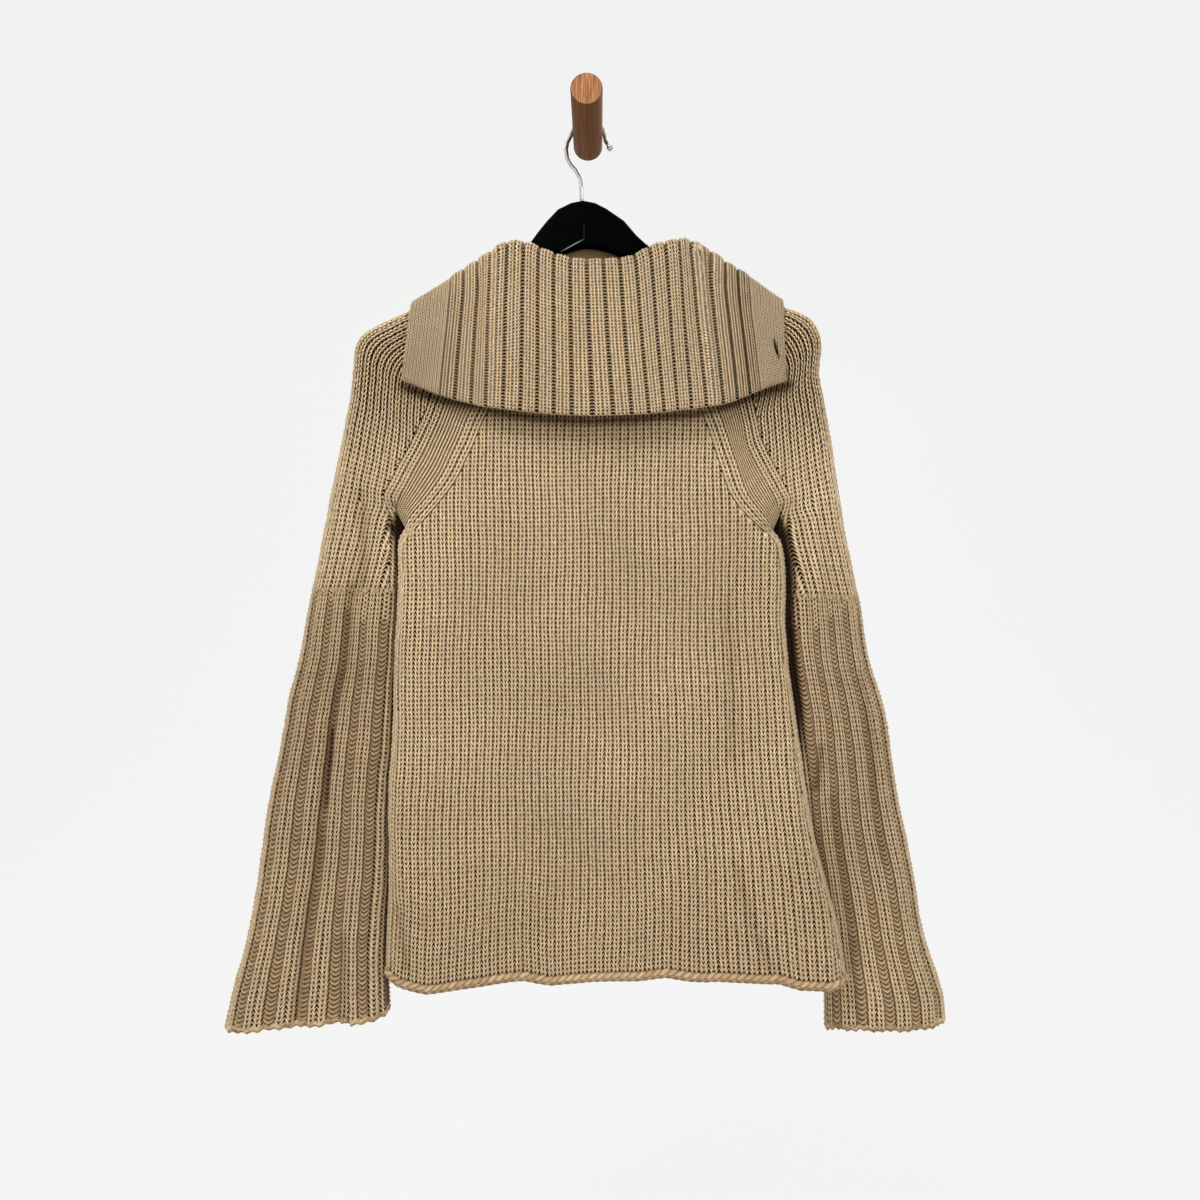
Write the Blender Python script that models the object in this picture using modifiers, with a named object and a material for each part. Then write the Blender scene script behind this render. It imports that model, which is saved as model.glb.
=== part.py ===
"""A chunky knitted sweater with flared, ribbed sleeves, on a hanger that hooks over a wooden wall peg.

Frame: metres, +Z up, +X to the viewer's right, +Y into the wall. The origin is the centre of the
peg's wall face. Left and right are the viewer's. The sizes below are in millimetres, and MM turns
them into metres when a mesh is made.

The garment hangs nearly flat. Every cloth piece is laid out first as (x, z) points in the plane
OUTLINE_Y, where its silhouette lies, and then rounded out towards the viewer (NEAR) and towards the
wall (FAR): the depth rises from the silhouette as a quarter ellipse and stays level further in.
"""

import math

import bpy
import numpy as np

MM = 0.001
NEAR, FAR = -1.0, 1.0

# Driving sizes
OUTLINE_Y = -25.0  # plane of the silhouette, and of the hanger
WALL = 4.0  # thickness of the body and sleeve knit
SEAM = 0.2  # each piece stops this short of a seam
ROUNDING = 22.0  # distance over which an edge rounds into the flat of a panel
PIT_ROWS = 12  # rows of points along a raglan seam, underarm to neck

# Depth of each side out of the silhouette's plane: height, near side, far side
BODY_DEPTH = ((-100, 14.0, 12.0), (-380, 15.0, 12.0), (-600, 17.0, 12.0), (-815, 20.0, 13.0))
SLEEVE_DEPTH = ((-100, 14.0, 12.0), (-380, 16.0, 12.0), (-600, 19.0, 14.0), (-860, 24.0, 17.0))

# Body edges below the underarm: height, left edge, right edge
BODY_EDGE = (
    (-395, -182.5, 185.5),
    (-425, -183.5, 190.3),
    (-475, -184.5, 191.3),
    (-550, -187.8, 198.0),
    (-622, -191.0, 208.6),
    (-690, -192.0, 220.0),
    (-752, -193.0, 235.0),
    (-803, -193.5, 245.5),
)
UNDERARM = {"left": (-176.0, -380.0), "right": (178.0, -383.0)}

# Sleeves below the underarm: inner edge x and z, outer edge x and z, cuff first
SLEEVE_LOW = {
    "left": (
        (-195.5, -847, -348.0, -858),
        (-196.7, -812, -339.5, -822),
        (-197.5, -768, -328.0, -776),
        (-196.5, -714, -317.0, -714),
        (-194.8, -655, -306.5, -648),
        (-192.6, -600, -297.0, -596),
        (-191.0, -551, -288.5, -546),
        (-187.6, -505, -277.0, -505),
        (-186.6, -465, -269.5, -466),
        (-186.2, -425, -262.0, -426),
        (-186.0, -392, -255.5, -388),
        (-183.5, -364, -249.0, -356),
    ),
    "right": (
        (231.0, -867, 342.5, -850),
        (231.0, -825, 339.0, -822),
        (227.0, -768, 324.0, -771),
        (220.0, -710, 311.5, -708),
        (213.0, -655, 301.0, -650),
        (207.5, -600, 292.0, -598),
        (203.2, -551, 283.5, -548),
        (199.0, -505, 271.0, -505),
        (196.8, -465, 264.0, -466),
        (195.8, -425, 256.0, -427),
        (191.5, -395, 250.0, -393),
        (185.0, -369, 244.5, -358),
    ),
}

# Shoulder line above the underarm: share of the way up the raglan seam, outer x and z
SHOULDER = {
    "left": (
        (0.10, -241.0, -322),
        (0.20, -234.0, -286),
        (0.30, -229.0, -252),
        (0.38, -226.2, -226),
        (0.46, -224.0, -207),
        (0.54, -215.0, -193.5),
        (0.63, -198.0, -184),
        (0.73, -169.0, -170),
        (0.83, -138.0, -151.5),
        (0.92, -112.0, -135),
        (1.00, -92.0, -123.5),
    ),
    "right": (
        (0.10, 238.0, -322),
        (0.20, 232.0, -286),
        (0.30, 226.5, -252),
        (0.38, 223.8, -230),
        (0.46, 225.8, -202),
        (0.54, 218.5, -183),
        (0.63, 205.0, -173.5),
        (0.73, 184.0, -166),
        (0.83, 155.0, -146),
        (0.92, 130.0, -131),
        (1.00, 109.5, -121.5),
    ),
}

# Raglan seams from the underarm to the neck, on the sleeve's side and on the body's side
RAGLAN_SLEEVE = {
    ("left", NEAR): ((-183.5, -364), (-167, -331), (-149, -294), (-135, -261), (-88, -150)),
    ("right", NEAR): ((185, -369), (169, -337), (152.5, -303), (143.5, -264), (104, -148)),
    ("left", FAR): ((-183.5, -364), (-150, -294), (-84, -119)),
    ("right", FAR): ((185, -369), (153, -300), (101, -119)),
}
RAGLAN_BODY = {
    ("left", NEAR): ((-176, -380), (-145, -342), (-128, -308), (-110, -266), (-60, -162)),
    ("right", NEAR): ((178, -383), (154, -352), (141.5, -316), (124.5, -270), (72, -161)),
    ("left", FAR): ((-176, -380), (-128, -300), (-60, -110)),
    ("right", FAR): ((178, -383), (132, -300), (76, -107)),
}
NECK_DIP = {NEAR: -14.0, FAR: 9.0}  # the neckline's middle, below or above its ends

# Soft folds: start x and z, end x and z, half width, height out of the cloth
FOLDS = {
    "front": (
        (134, -430, 150, -650, 20, 4.5),
        (128, -650, 176, -820, 22, 5.0),
        (98, -680, 118, -820, 15, -3.0),
        (40, -540, 30, -820, 34, 3.0),
        (-55, -500, -72, -820, 30, -2.5),
        (-122, -450, -138, -820, 28, 3.0),
        (-172, -700, -178, -820, 13, -3.0),
    ),
    "back": (
        (110, -430, 130, -820, 26, 2.5),
        (20, -500, 35, -820, 32, -2.0),
        (-90, -450, -105, -820, 30, 2.5),
    ),
    "left": (
        (-219, -340, -213, -440, 13, -4.0),
        (-246, -570, -255, -670, 9, -4.0),
        (-252, -660, -234, -870, 11, -4.0),
    ),
    "right": (
        (214, -345, 217, -450, 13, 3.0),
        (222, -585, 224, -650, 9, -3.0),
        (262, -640, 284, -870, 14, -3.0),
    ),
}

# Ribs, each a rounded ridge between two grooves cut into the outer face only
SLEEVE_RIBS = 12
SLEEVE_RIB_TOP = -430.0  # where the ribs begin to show below the plain upper sleeve
SLEEVE_RIB_FADE = 45.0
SLEEVE_GROOVE = 1.8
RAGLAN_RIBS = 8
RAGLAN_GROOVE = 0.9
COLLAR_RIBS = 20
COLLAR_GROOVE = 2.0

FRONT_COLUMNS, BACK_COLUMNS = 22, 18
HEM_ROLL_RADIUS = 4.3
# Middle line of the rolled hem, left to right: x, height
HEM_LINE = (
    (-193.5, -806),
    (-178, -814),
    (-150, -818),
    (-105, -813),
    (-60, -807),
    (-35, -810.5),
    (5, -806.5),
    (50, -806),
    (75, -803.5),
    (112, -808.5),
    (180, -805),
    (200, -810.5),
    (228, -811.5),
    (246, -807),
)

# Collar, a folded strip. Middle of its wall, from its left end to its right end.
COLLAR_WALL = 5.0
COLLAR_LIFT = 3.0  # middle of the collar's wall above the cloth it lies on
CREST_LIFT = 1.4  # more than that over the shoulder line, where it bends
NECK_SIDES = ((88.0, 1.6), (298.0, 4.4))  # and where its inner edge crosses that line: place, lift
# Stretches over a shoulder: place along the strip, ridge x, free edge (far side) x and z,
# outer edge x and z, how far the outer edge stands off
COLLAR_ENDS = {
    "left": (
        (0, -167, -64, -204, -175.0, -243.0, 5.0),
        (44, -129, -76, -166, -138.6, -258.5, 9.0),
        (74, -103, -86, -143, -109.0, -267.5, 12.0),
        (85, -94, -88, -130, -98.5, -270.3, 13.0),
    ),
    "right": (
        (303, 113, 103, -126, 126.0, -268.0, 13.0),
        (314, 124, 101, -138, 136.0, -265.0, 12.0),
        (349, 152, 92, -162, 162.3, -253.5, 9.0),
        (393, 186, 80, -200, 187.0, -244.5, 5.0),
    ),
}
# Stretches folded at the neck: place along the strip, crest x y z, seam x and z on the near side,
# outer edge x y z
COLLAR_FOLD = (
    (95, -84, -28, -117.0, -93.5, -127.0, -88.5, -60, -272.0),
    (104, -76, -33, -113.5, -93.0, -131.0, -79, -61, -273.5),
    (122, -58, -41, -115.0, -88.0, -155.0, -60, -62, -276.0),
    (142, -40, -45, -123.0, -62.0, -168.5, -40, -62, -277.5),
    (168, -14, -46.5, -131.5, -30.0, -178.5, -12, -62, -279.5),
    (194, 12, -46.5, -132.6, 6.0, -182.5, 21, -62, -279.5),
    (222, 40, -46, -129.8, 42.0, -178.5, 52, -62, -278.5),
    (248, 64, -43, -117.5, 74.0, -167.5, 76, -62, -276.0),
    (268, 82, -37, -112.3, 102.0, -154.0, 92, -61, -274.0),
    (284, 93, -32, -111.0, 108.0, -130.0, 107, -60, -271.5),
    (294, 101, -28, -114.0, 110.0, -124.0, 116, -60, -270.0),
)
FOLD_ROLL = 7.0  # how far below the crest the folded wall has turned level
FALL_Y = -51.0  # middle of the falling layer, just under the fold
COLLAR_BAND = 44.0  # width of the plain band at each end of the strip
COLLAR_LENGTH = 393.0
COLLAR_IN, COLLAR_OUT = 6, 8  # steps from the crest to the inner edge, and to the outer edge

# Hanger: x, top, bottom of its arched middle; its arms follow the shoulder lines
HANGER_ARCH = (
    (-57, -107.5, -135),
    (-48, -95.0, -130),
    (-39.5, -84.5, -125),
    (-28.7, -73.0, -119),
    (-16, -66.8, -114),
    (-4.7, -64.5, -111),
    (7, -66.8, -111.5),
    (18, -72.3, -114),
    (35, -84.0, -120),
    (47, -98.0, -126),
    (59, -109.0, -134),
)
HANGER_HALF_DEPTH = 5.5
HANGER_ARMS = ((-78, -126.0, -210, -199.0), (78, -124.0, 210, -185.0))  # crest: x z to x z
HANGER_ARM_HEIGHT = 25.0
HANGER_TIP_HEIGHT = 12.0
HOOK_WIRE = 2.1
PEG_RADIUS, PEG_LENGTH = 14.3, 103.0
PEG_CHAMFER = 1.2


def clear_scene():
    for obj in list(bpy.data.objects):
        bpy.data.objects.remove(obj, do_unlink=True)
    made = bpy.data.collections.new("flare_sleeve_sweater")
    bpy.context.scene.collection.children.link(made)
    return made


def material(name, colour, roughness, metallic=0.0):
    made = bpy.data.materials.new(name)
    made.use_nodes = True
    shader = made.node_tree.nodes["Principled BSDF"]
    shader.inputs["Base Color"].default_value = (*colour, 1.0)
    shader.inputs["Roughness"].default_value = roughness
    shader.inputs["Metallic"].default_value = metallic
    return made


PARTS = clear_scene()
KNIT = material("oatmeal_knit", (0.41, 0.30, 0.175), 0.95)
COLLAR_KNIT = material("oatmeal_rib", (0.43, 0.32, 0.19), 0.95)
BLACK = material("black_lacquer", (0.006, 0.006, 0.007), 0.3)
STEEL = material("hook_steel", (0.62, 0.62, 0.6), 0.28, 1.0)
WOOD = material("peg_wood", (0.42, 0.21, 0.10), 0.55)


# ---------------------------------------------------------------- lines in the (x, z) plane


def along(points, shares):
    """Points at given shares of a polyline's length."""
    points = np.asarray(points, float)
    length = np.concatenate([[0], np.cumsum(np.linalg.norm(np.diff(points, axis=0), axis=1))])
    at = np.asarray(shares, float) * length[-1]
    return np.stack([np.interp(at, length, points[:, i]) for i in range(points.shape[1])], axis=-1)


def raglan(side, face, table):
    """Rows of points up a raglan seam, at the shares that the shoulder line's rows name."""
    shares = [0.0] + [row[0] for row in SHOULDER[side]]
    return along(table[side, face], shares)


def body_edge(side):
    column = 1 if side == "left" else 2
    rows = [UNDERARM[side]] + [(row[column], row[0]) for row in BODY_EDGE]
    return np.array(rows + [(rows[-1][0], -900.0)], float)


def sleeve_edge(side, inner):
    columns = (0, 1) if inner else (2, 3)
    rows = [[row[i] for i in columns] for row in SLEEVE_LOW[side]]
    first = [[rows[0][0] * 2 - rows[1][0], rows[0][1] * 2 - rows[1][1]]]
    return np.array(first + rows, float)


def ridge(side):
    """The shoulder line, from the outer end of the underarm row to the neck."""
    start = [SLEEVE_LOW[side][-1][2:]]
    return np.array(start + [row[1:] for row in SHOULDER[side]], float)


# Silhouettes that the cloth rounds away from: both sides of each underarm slit, and the outside
SLITS = [
    np.concatenate([sleeve_edge(side, True), body_edge(side)]) for side in ("left", "right")
]
OUTSIDES = [
    np.concatenate([sleeve_edge(side, False), ridge(side)[1:]]) for side in ("left", "right")
]
OUTLINES = SLITS + OUTSIDES


def nearest(points, line):
    """Distance from each point to a polyline, and the polyline's nearest points."""
    a, b = line[:-1], line[1:]
    span = b - a
    size = np.maximum((span**2).sum(axis=1), 1e-9)
    share = ((points[:, None] - a) * span).sum(axis=2) / size
    foot = a + np.clip(share, 0, 1)[..., None] * span
    gap = np.linalg.norm(points[:, None] - foot, axis=2)
    pick = gap.argmin(axis=1)
    rows = np.arange(len(points))
    return gap[rows, pick], foot[rows, pick]


# ---------------------------------------------------------------- the cloth's surface


def smooth(value, low, high):
    """0 below low, 1 above high, and an S-curve between."""
    share = np.clip((value - low) / (high - low), 0, 1)
    return share * share * (3 - 2 * share)


def overlap_shift(points, piece):
    """The body's lower right edge hangs forward of the right sleeve, which lies back behind it."""
    x, z = points[:, 0], points[:, 1]
    low = smooth(-z, 540, 760)
    if piece in ("front", "back"):
        return -12.0 * low * smooth(x, 120, 215)
    if piece == "right":
        return 10.0 * low * (1 - smooth(x, 235, 300))
    return np.zeros(len(points))


def depth(points, piece, face):
    table = np.array(BODY_DEPTH if piece in ("front", "back") else SLEEVE_DEPTH, float)[::-1]
    level = np.interp(points[:, 1], table[:, 0], table[:, 1 if face == NEAR else 2])
    if piece == "right":
        flat = smooth(-points[:, 1], 540, 760) * (1 - smooth(points[:, 0], 235, 290))
        level = level + (8.5 - level) * flat
    return level


def folds(points, piece):
    """Each fold is a bell across its line and fades out at the line's ends."""
    height = np.zeros(len(points))
    for x0, z0, x1, z1, half, rise in FOLDS.get(piece, ()):
        start, span = np.array([x0, z0], float), np.array([x1 - x0, z1 - z0], float)
        length = np.linalg.norm(span)
        share = (points - start) @ span / length**2
        across = (points - start) @ np.array([-span[1], span[0]]) / length
        ends = np.where(z1 < -815, smooth(share, 0, 0.4), np.sin(np.pi * np.clip(share, 0, 1)))
        height += rise * np.exp(-((across / half) ** 2)) * ends
    return height


def surface(points, inward, piece, face):
    """Outer point and outward normal over each (x, z) point; inward points into the piece."""
    points = np.asarray(points, float)
    if len(inward) != len(points):
        raise ValueError("one inward direction for each point")
    found = [nearest(points, line) for line in OUTLINES]
    probe = points + 0.3 * inward / np.maximum(np.linalg.norm(inward, axis=1)[:, None], 1e-9)
    feet = [nearest(probe, line) for line in OUTLINES]
    gap = np.min([f[0] for f in found], axis=0)
    pick = np.argmin([f[0] for f in feet], axis=0)
    foot = np.array([f[1] for f in feet])[pick, np.arange(len(points))]
    away = probe - foot
    away /= np.maximum(np.linalg.norm(away, axis=1)[:, None], 1e-9)
    level = depth(points, piece, face)
    left = 1 - np.clip(gap / ROUNDING, 0, 1)
    rise = np.sqrt(np.maximum(1 - left**2, 0))
    normal = np.zeros((len(points), 3))
    normal[:, [0, 2]] = -away * (left / ROUNDING)[:, None]
    normal[:, 1] = face * rise / level
    normal /= np.linalg.norm(normal, axis=1)[:, None]
    outer = np.empty((len(points), 3))
    outer[:, [0, 2]] = points
    outer[:, 1] = OUTLINE_Y + overlap_shift(points, piece) + face * (level * rise)
    name = {"front": "front", "back": "back"}.get(piece, piece if face == NEAR else "")
    outer += normal * (folds(points, name) * rise)[:, None]
    return outer, normal


# ---------------------------------------------------------------- solids


def add_object(name, mesh, finish):
    obj = bpy.data.objects.new(name, mesh)
    mesh.materials.append(finish)
    PARTS.objects.link(obj)
    return obj


def closed_mesh(name, points, faces):
    """A mesh from points in millimetres, with coincident points merged and its faces turned out."""
    import bmesh

    mesh = bpy.data.meshes.new(name)
    mesh.from_pydata([tuple(p) for p in np.asarray(points) * MM], [], faces)
    work = bmesh.new()
    work.from_mesh(mesh)
    bmesh.ops.remove_doubles(work, verts=work.verts, dist=1e-6)
    bmesh.ops.recalc_face_normals(work, faces=work.faces)
    work.to_mesh(mesh)
    work.free()
    return mesh


def strip(fine, coarse):
    """Triangles between a line of points and one with fewer, whose steps divide its own."""
    ratio = (len(fine) - 1) // (len(coarse) - 1)
    made = []
    for j in range(len(coarse) - 1):
        first = j * ratio
        middle = first + ratio // 2
        for i in range(first, first + ratio):
            made.append((fine[i], fine[i + 1], coarse[j] if i < middle else coarse[j + 1]))
        made.append((fine[middle], coarse[j + 1], coarse[j]))
    return made


def wall(name, outer, inner, finish, joined=0):
    """A cloth wall between an outer grid and an inner grid with as many rows. The first and last
    columns of the first `joined` rows coincide, so there the wall is a tube."""
    rows, fine = outer.shape[:2]
    coarse = inner.shape[1]
    out = np.arange(rows * fine).reshape(rows, fine)
    inside = rows * fine + np.arange(rows * coarse).reshape(rows, coarse)
    faces = []
    for grid in (out, inside):
        quads = np.stack([grid[:-1, :-1], grid[:-1, 1:], grid[1:, 1:], grid[1:, :-1]], axis=-1)
        faces += [tuple(int(i) for i in quad) for quad in quads.reshape(-1, 4)]
    for row in (0, rows - 1):
        faces += [tuple(int(i) for i in face) for face in strip(out[row], inside[row])]
    for column in (0, -1):
        for row in range(max(joined - 1, 0), rows - 1):
            a, b = out[row, column], out[row + 1, column]
            c, d = inside[row + 1, column], inside[row, column]
            faces.append((int(a), int(b), int(c), int(d)))
    points = np.concatenate([outer.reshape(-1, 3), inner.reshape(-1, 3)])
    return add_object(name, closed_mesh(name, points, faces), finish)


def groove(phase, deep):
    """Depth of the groove between ribs: full at whole numbers, none over the middle half."""
    return deep * np.clip(np.cos(2 * np.pi * phase), 0, 1)


def spaced(first, last, piece, face, count, even):
    """Shares along a straight row from first to last. even = 1 spaces them evenly over the
    rounded surface, 0 crowds them at the two ends."""
    crowd = (1 - np.cos(np.pi * np.linspace(0, 1, count))) / 2
    fine = (1 - np.cos(np.pi * np.linspace(0, 1, 161))) / 2
    points = first + (last - first) * fine[:, None]
    inward = np.where(fine[:, None] < 0.5, last - first, first - last)
    outer, _ = surface(points, inward, piece, face)
    run = np.concatenate([[0], np.cumsum(np.linalg.norm(np.diff(outer, axis=0), axis=1))])
    level = np.interp(np.linspace(0, run[-1], count), run, fine)
    return crowd * (1 - even) + level * even


def row_points(first, last, piece, face, shares):
    points = first + (last - first) * shares[:, None]
    inward = np.where(shares[:, None] < 0.5, last - first, first - last)
    return surface(points, inward, piece, face)


# ---------------------------------------------------------------- sleeves


def sleeve(side):
    """Rows run from the cuff to the neck. Each goes round the arm: near side out to the
    silhouette, then the far side back."""
    low = np.array(SLEEVE_LOW[side], float)
    top = np.array([row[1:] for row in SHOULDER[side]], float)
    outers = np.concatenate([low[:, 2:], top])
    seams = {face: raglan(side, face, RAGLAN_SLEEVE)[1:] for face in (NEAR, FAR)}
    half = SLEEVE_RIBS * 2 + 1
    outer_rows, inner_rows = [], []
    for number, edge in enumerate(outers):
        parts_out, parts_in = [], []
        for face in (NEAR, FAR):
            if number < len(low):
                start = low[number, :2]
                even = 1.0 - 0.999 * float(number == len(low) - 1)
            else:
                start = seams[face][number - len(low)]
                start = start + (edge - start) / np.linalg.norm(edge - start) * SEAM * 1.5
                even = 0.0
            shares = spaced(start, edge, side, face, half, even)
            points, normals = row_points(start, edge, side, face, shares)
            inside = points - normals * WALL
            phase = np.linspace(0, SLEEVE_RIBS / 2, half)
            fade = smooth(SLEEVE_RIB_TOP - points[:, 2], 0, SLEEVE_RIB_FADE)
            points = points - normals * (groove(phase, SLEEVE_GROOVE) * fade)[:, None]
            order = slice(None) if face == NEAR else slice(None, None, -1)
            parts_out.append(points[order])
            parts_in.append(inside[order][::2])
        outer_rows.append(np.concatenate([parts_out[0], parts_out[1][1:]]))
        inner_rows.append(np.concatenate([parts_in[0], parts_in[1][1:]]))
    return wall(f"sleeve_{side}", np.array(outer_rows), np.array(inner_rows), KNIT, len(low))


# ---------------------------------------------------------------- body panels


def hem_height(x):
    line = np.array(HEM_LINE, float)
    return np.interp(x, line[:, 0], line[:, 1])


def hem_edge(x):
    """The panels' lower edge, which clears the roll also where the roll's line slopes."""
    slope = (hem_height(x + 4) - hem_height(x - 4)) / 8
    return hem_height(x) + (HEM_ROLL_RADIUS + 0.4) * np.hypot(1, slope) + 0.3


def panel_shares(columns):
    """Shares across a panel, crowded at its rounded edges."""
    crowd = np.array([0, 0.012, 0.035, 0.075])
    return np.concatenate([crowd, np.linspace(0.13, 0.87, columns - 7), 1 - crowd[::-1]])


def panel(name, piece, face, columns):
    """Rows run from the hem to the neckline, columns from the left edge to the right."""
    left, right = (body_edge(side)[1:-1][::-1] for side in ("left", "right"))
    left = np.concatenate([left, raglan("left", face, RAGLAN_BODY)])
    right = np.concatenate([right, raglan("right", face, RAGLAN_BODY)])
    middle = (left[-1] + right[-1]) / 2
    shares = panel_shares(columns)
    outer_rows, inner_rows = [], []
    low_rows = len(BODY_EDGE)
    for number, (a, b) in enumerate(zip(left, right)):
        points = a + (b - a) * shares[:, None]
        rise = max(number - low_rows, 0) / (PIT_ROWS - 1)
        points[:, 1] += NECK_DIP[face] * rise**3 * np.sin(np.pi * shares)
        if number == 0:
            points[:, 1] = hem_edge(points[:, 0])
        elif number >= low_rows:
            points[0, 0] += SEAM
            points[-1, 0] -= SEAM
        inward = np.where(shares[:, None] < 0.5, b - a, a - b)
        points_out, normals = surface(points, inward, piece, face)
        points_out[:, 1] += face * SEAM
        outer_rows.append(points_out)
        inside = (points_out - normals * WALL)[::2]
        inside[:, 2] += 1.2 * (number == 0)
        inner_rows.append(inside)
    return wall(name, np.array(outer_rows), np.array(inner_rows), KNIT)


def raglan_strip(side, face):
    """A strip between the sleeve and a body panel, from the underarm to the neck. The near ones
    are finely ribbed."""
    sleeve_side = raglan(side, face, RAGLAN_SLEEVE)
    body_side = raglan(side, face, RAGLAN_BODY)
    piece = "front" if face == NEAR else "back"
    shares = np.linspace(0, 1, RAGLAN_RIBS * 2 + 1 if face == NEAR else 5)
    cut = groove(np.linspace(0, RAGLAN_RIBS, len(shares)), RAGLAN_GROOVE) * (face == NEAR)
    cut[[0, -1]] = 0
    up = sleeve_side[-1] - sleeve_side[0]
    outer_rows, inner_rows = [], []
    for a, b in zip(sleeve_side, body_side):
        step = (b - a) / np.linalg.norm(b - a) * SEAM
        a, b = a + step, b - step
        points = a + (b - a) * shares[:, None]
        points_out, normals = surface(points, np.tile(up, (len(shares), 1)), piece, face)
        points_out[:, 1] += face * SEAM
        inner_rows.append((points_out - normals * WALL)[:: len(shares) // 4])
        outer_rows.append(points_out - normals * cut[:, None])
    name = f"raglan_{'front' if face == NEAR else 'back'}_{side}"
    return wall(name, np.array(outer_rows), np.array(inner_rows), KNIT)


def hem_roll():
    """The curled edge: a closed cord under both panels' lower edges."""
    rows = []
    edge = {side: body_edge(side)[-2] for side in ("left", "right")}
    for face in (NEAR, FAR):
        shares = panel_shares(FRONT_COLUMNS if face == NEAR else BACK_COLUMNS)
        if face == FAR:
            shares = shares[1:-1][::-1]
        points = edge["left"] + (edge["right"] - edge["left"]) * shares[:, None]
        points[:, 1] = hem_height(points[:, 0])
        inward = np.where(shares[:, None] < 0.5, [[1.0, 0.0]], [[-1.0, 0.0]])
        outer, normals = surface(points, inward, "front" if face == NEAR else "back", face)
        rows.append(outer - normals * (WALL / 2))
    path = np.concatenate(rows)
    curve = bpy.data.curves.new("hem_roll", "CURVE")
    curve.dimensions = "3D"
    curve.bevel_depth = HEM_ROLL_RADIUS * MM
    curve.bevel_resolution = 2
    spline = curve.splines.new("POLY")
    spline.points.add(len(path) - 1)
    for point, place in zip(spline.points, path * MM):
        point.co = (*place, 1.0)
    spline.use_cyclic_u = True
    obj = bpy.data.objects.new("hem_roll", curve)
    curve.materials.append(KNIT)
    PARTS.objects.link(obj)
    return obj


# ---------------------------------------------------------------- collar


def fold_shares(steps):
    """Shares from the crest down, crowded at the crest."""
    return np.linspace(0, 1, steps + 1) ** 2.4


def over_shoulder(row, side):
    """One section of the strip where it lies over a shoulder line, free edge first."""
    _, ridge_x, free_x, free_z, edge_x, edge_z, stand = row
    line = ridge(side)
    order = np.argsort(line[:, 0])
    top = np.array([ridge_x, np.interp(ridge_x, line[order, 0], line[order, 1])])
    pieces = []
    for face, end, steps in ((FAR, (free_x, free_z), COLLAR_IN), (NEAR, (edge_x, edge_z), COLLAR_OUT)):
        shares = fold_shares(steps)[:, None]
        points = top + (np.array(end) - top) * shares
        inward = np.tile(np.array([0.0, -1.0]), (len(points), 1))
        outer, normals = surface(points, inward, side, face)
        lift = COLLAR_LIFT + (stand * shares**1.3 if face == NEAR else 0.4 * shares)
        pieces.append(outer + normals * lift)
    return np.concatenate([pieces[0][::-1], pieces[1][1:]])


def folded_at_neck(row):
    """One section of the strip where it stands up from the neckline and folds over."""
    _, cx, cy, cz, sx, sz, ex, ey, ez = row
    crest, edge = np.array([cx, cy, cz], float), np.array([ex, ey, ez], float)
    side = "left" if cx < 0 else "right"
    base, normal = surface(np.array([[sx, sz]]), np.array([[0.0, -1.0]]), side, NEAR)
    seam = (base + normal * COLLAR_LIFT)[0]
    pieces = []
    for end, level, steps in ((seam, seam[1], COLLAR_IN), (edge, FALL_Y, COLLAR_OUT)):
        shares = fold_shares(steps)
        run = np.linalg.norm((end - crest)[[0, 2]])
        left = 1 - np.clip(shares * run / FOLD_ROLL, 0, 1)
        rise = np.sqrt(1 - left**2)
        points = crest + (end - crest) * shares[:, None]
        points[:, 1] = cy + (level - cy) * rise + (end[1] - level) * shares**1.3
        pieces.append(points)
    return np.concatenate([pieces[0][::-1], pieces[1][1:]])


def shoulder_cloud():
    """Points and normals over the neck and shoulders, which the collar has to clear."""
    found = []
    below = np.concatenate([np.arange(0, 6, 0.75), np.arange(6, 30, 3.0), np.arange(30, 150, 6.0)])
    x = np.arange(-224.0, 225.0, 3.0)
    tops = {}
    for face in (NEAR, FAR):
        left, right = (ridge(side)[4:] for side in ("left", "right"))
        ends = [raglan(side, face, RAGLAN_BODY)[-1] for side in ("left", "right")]
        middle = (ends[0] + ends[1]) / 2 + [0, NECK_DIP[face]]
        tops[face] = np.concatenate([left, [ends[0], middle, ends[1]], right[::-1]])
    for face in (NEAR, FAR):
        top = np.interp(x, tops[face][:, 0], tops[face][:, 1])
        grid = np.stack(np.broadcast_arrays(x[:, None], top[:, None] - below), axis=-1)
        grid = grid.reshape(-1, 2)
        found.append(surface(grid, np.tile([0.0, -1.0], (len(grid), 1)), "left", face))
    return np.concatenate([f[0] for f in found]), np.concatenate([f[1] for f in found])


def pushed_clear(points, lift):
    """Moves points out along the cloth's normals until they are clear of it by lift."""
    cloud, normals = shoulder_cloud()
    moved = points.reshape(-1, 3).copy()
    for _ in range(3):
        pick = np.array([((cloud - p) ** 2).sum(axis=1).argmin() for p in moved])
        offset = moved - cloud[pick]
        above = (offset * normals[pick]).sum(axis=1)
        near = np.linalg.norm(offset, axis=1) < 14
        wanted = lift + CREST_LIFT * np.clip(normals[pick, 2], 0, 1)
        moved += normals[pick] * (np.clip(wanted - above, 0, None) * near)[:, None]
    return moved.reshape(points.shape)


def spline(at, places, values):
    """A smooth curve through the values, read at each place."""
    slopes = np.gradient(values, places, axis=0)
    i = np.clip(np.searchsorted(places, at, side="right") - 1, 0, len(places) - 2)
    step = (places[i + 1] - places[i])[:, None]
    u = ((at - places[i]) / step[:, 0])[:, None]
    first = values[i] * (1 + 2 * u) * (1 - u) ** 2 + slopes[i] * step * u * (1 - u) ** 2
    second = values[i + 1] * u**2 * (3 - 2 * u) + slopes[i + 1] * step * u**2 * (u - 1)
    return first + second


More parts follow.
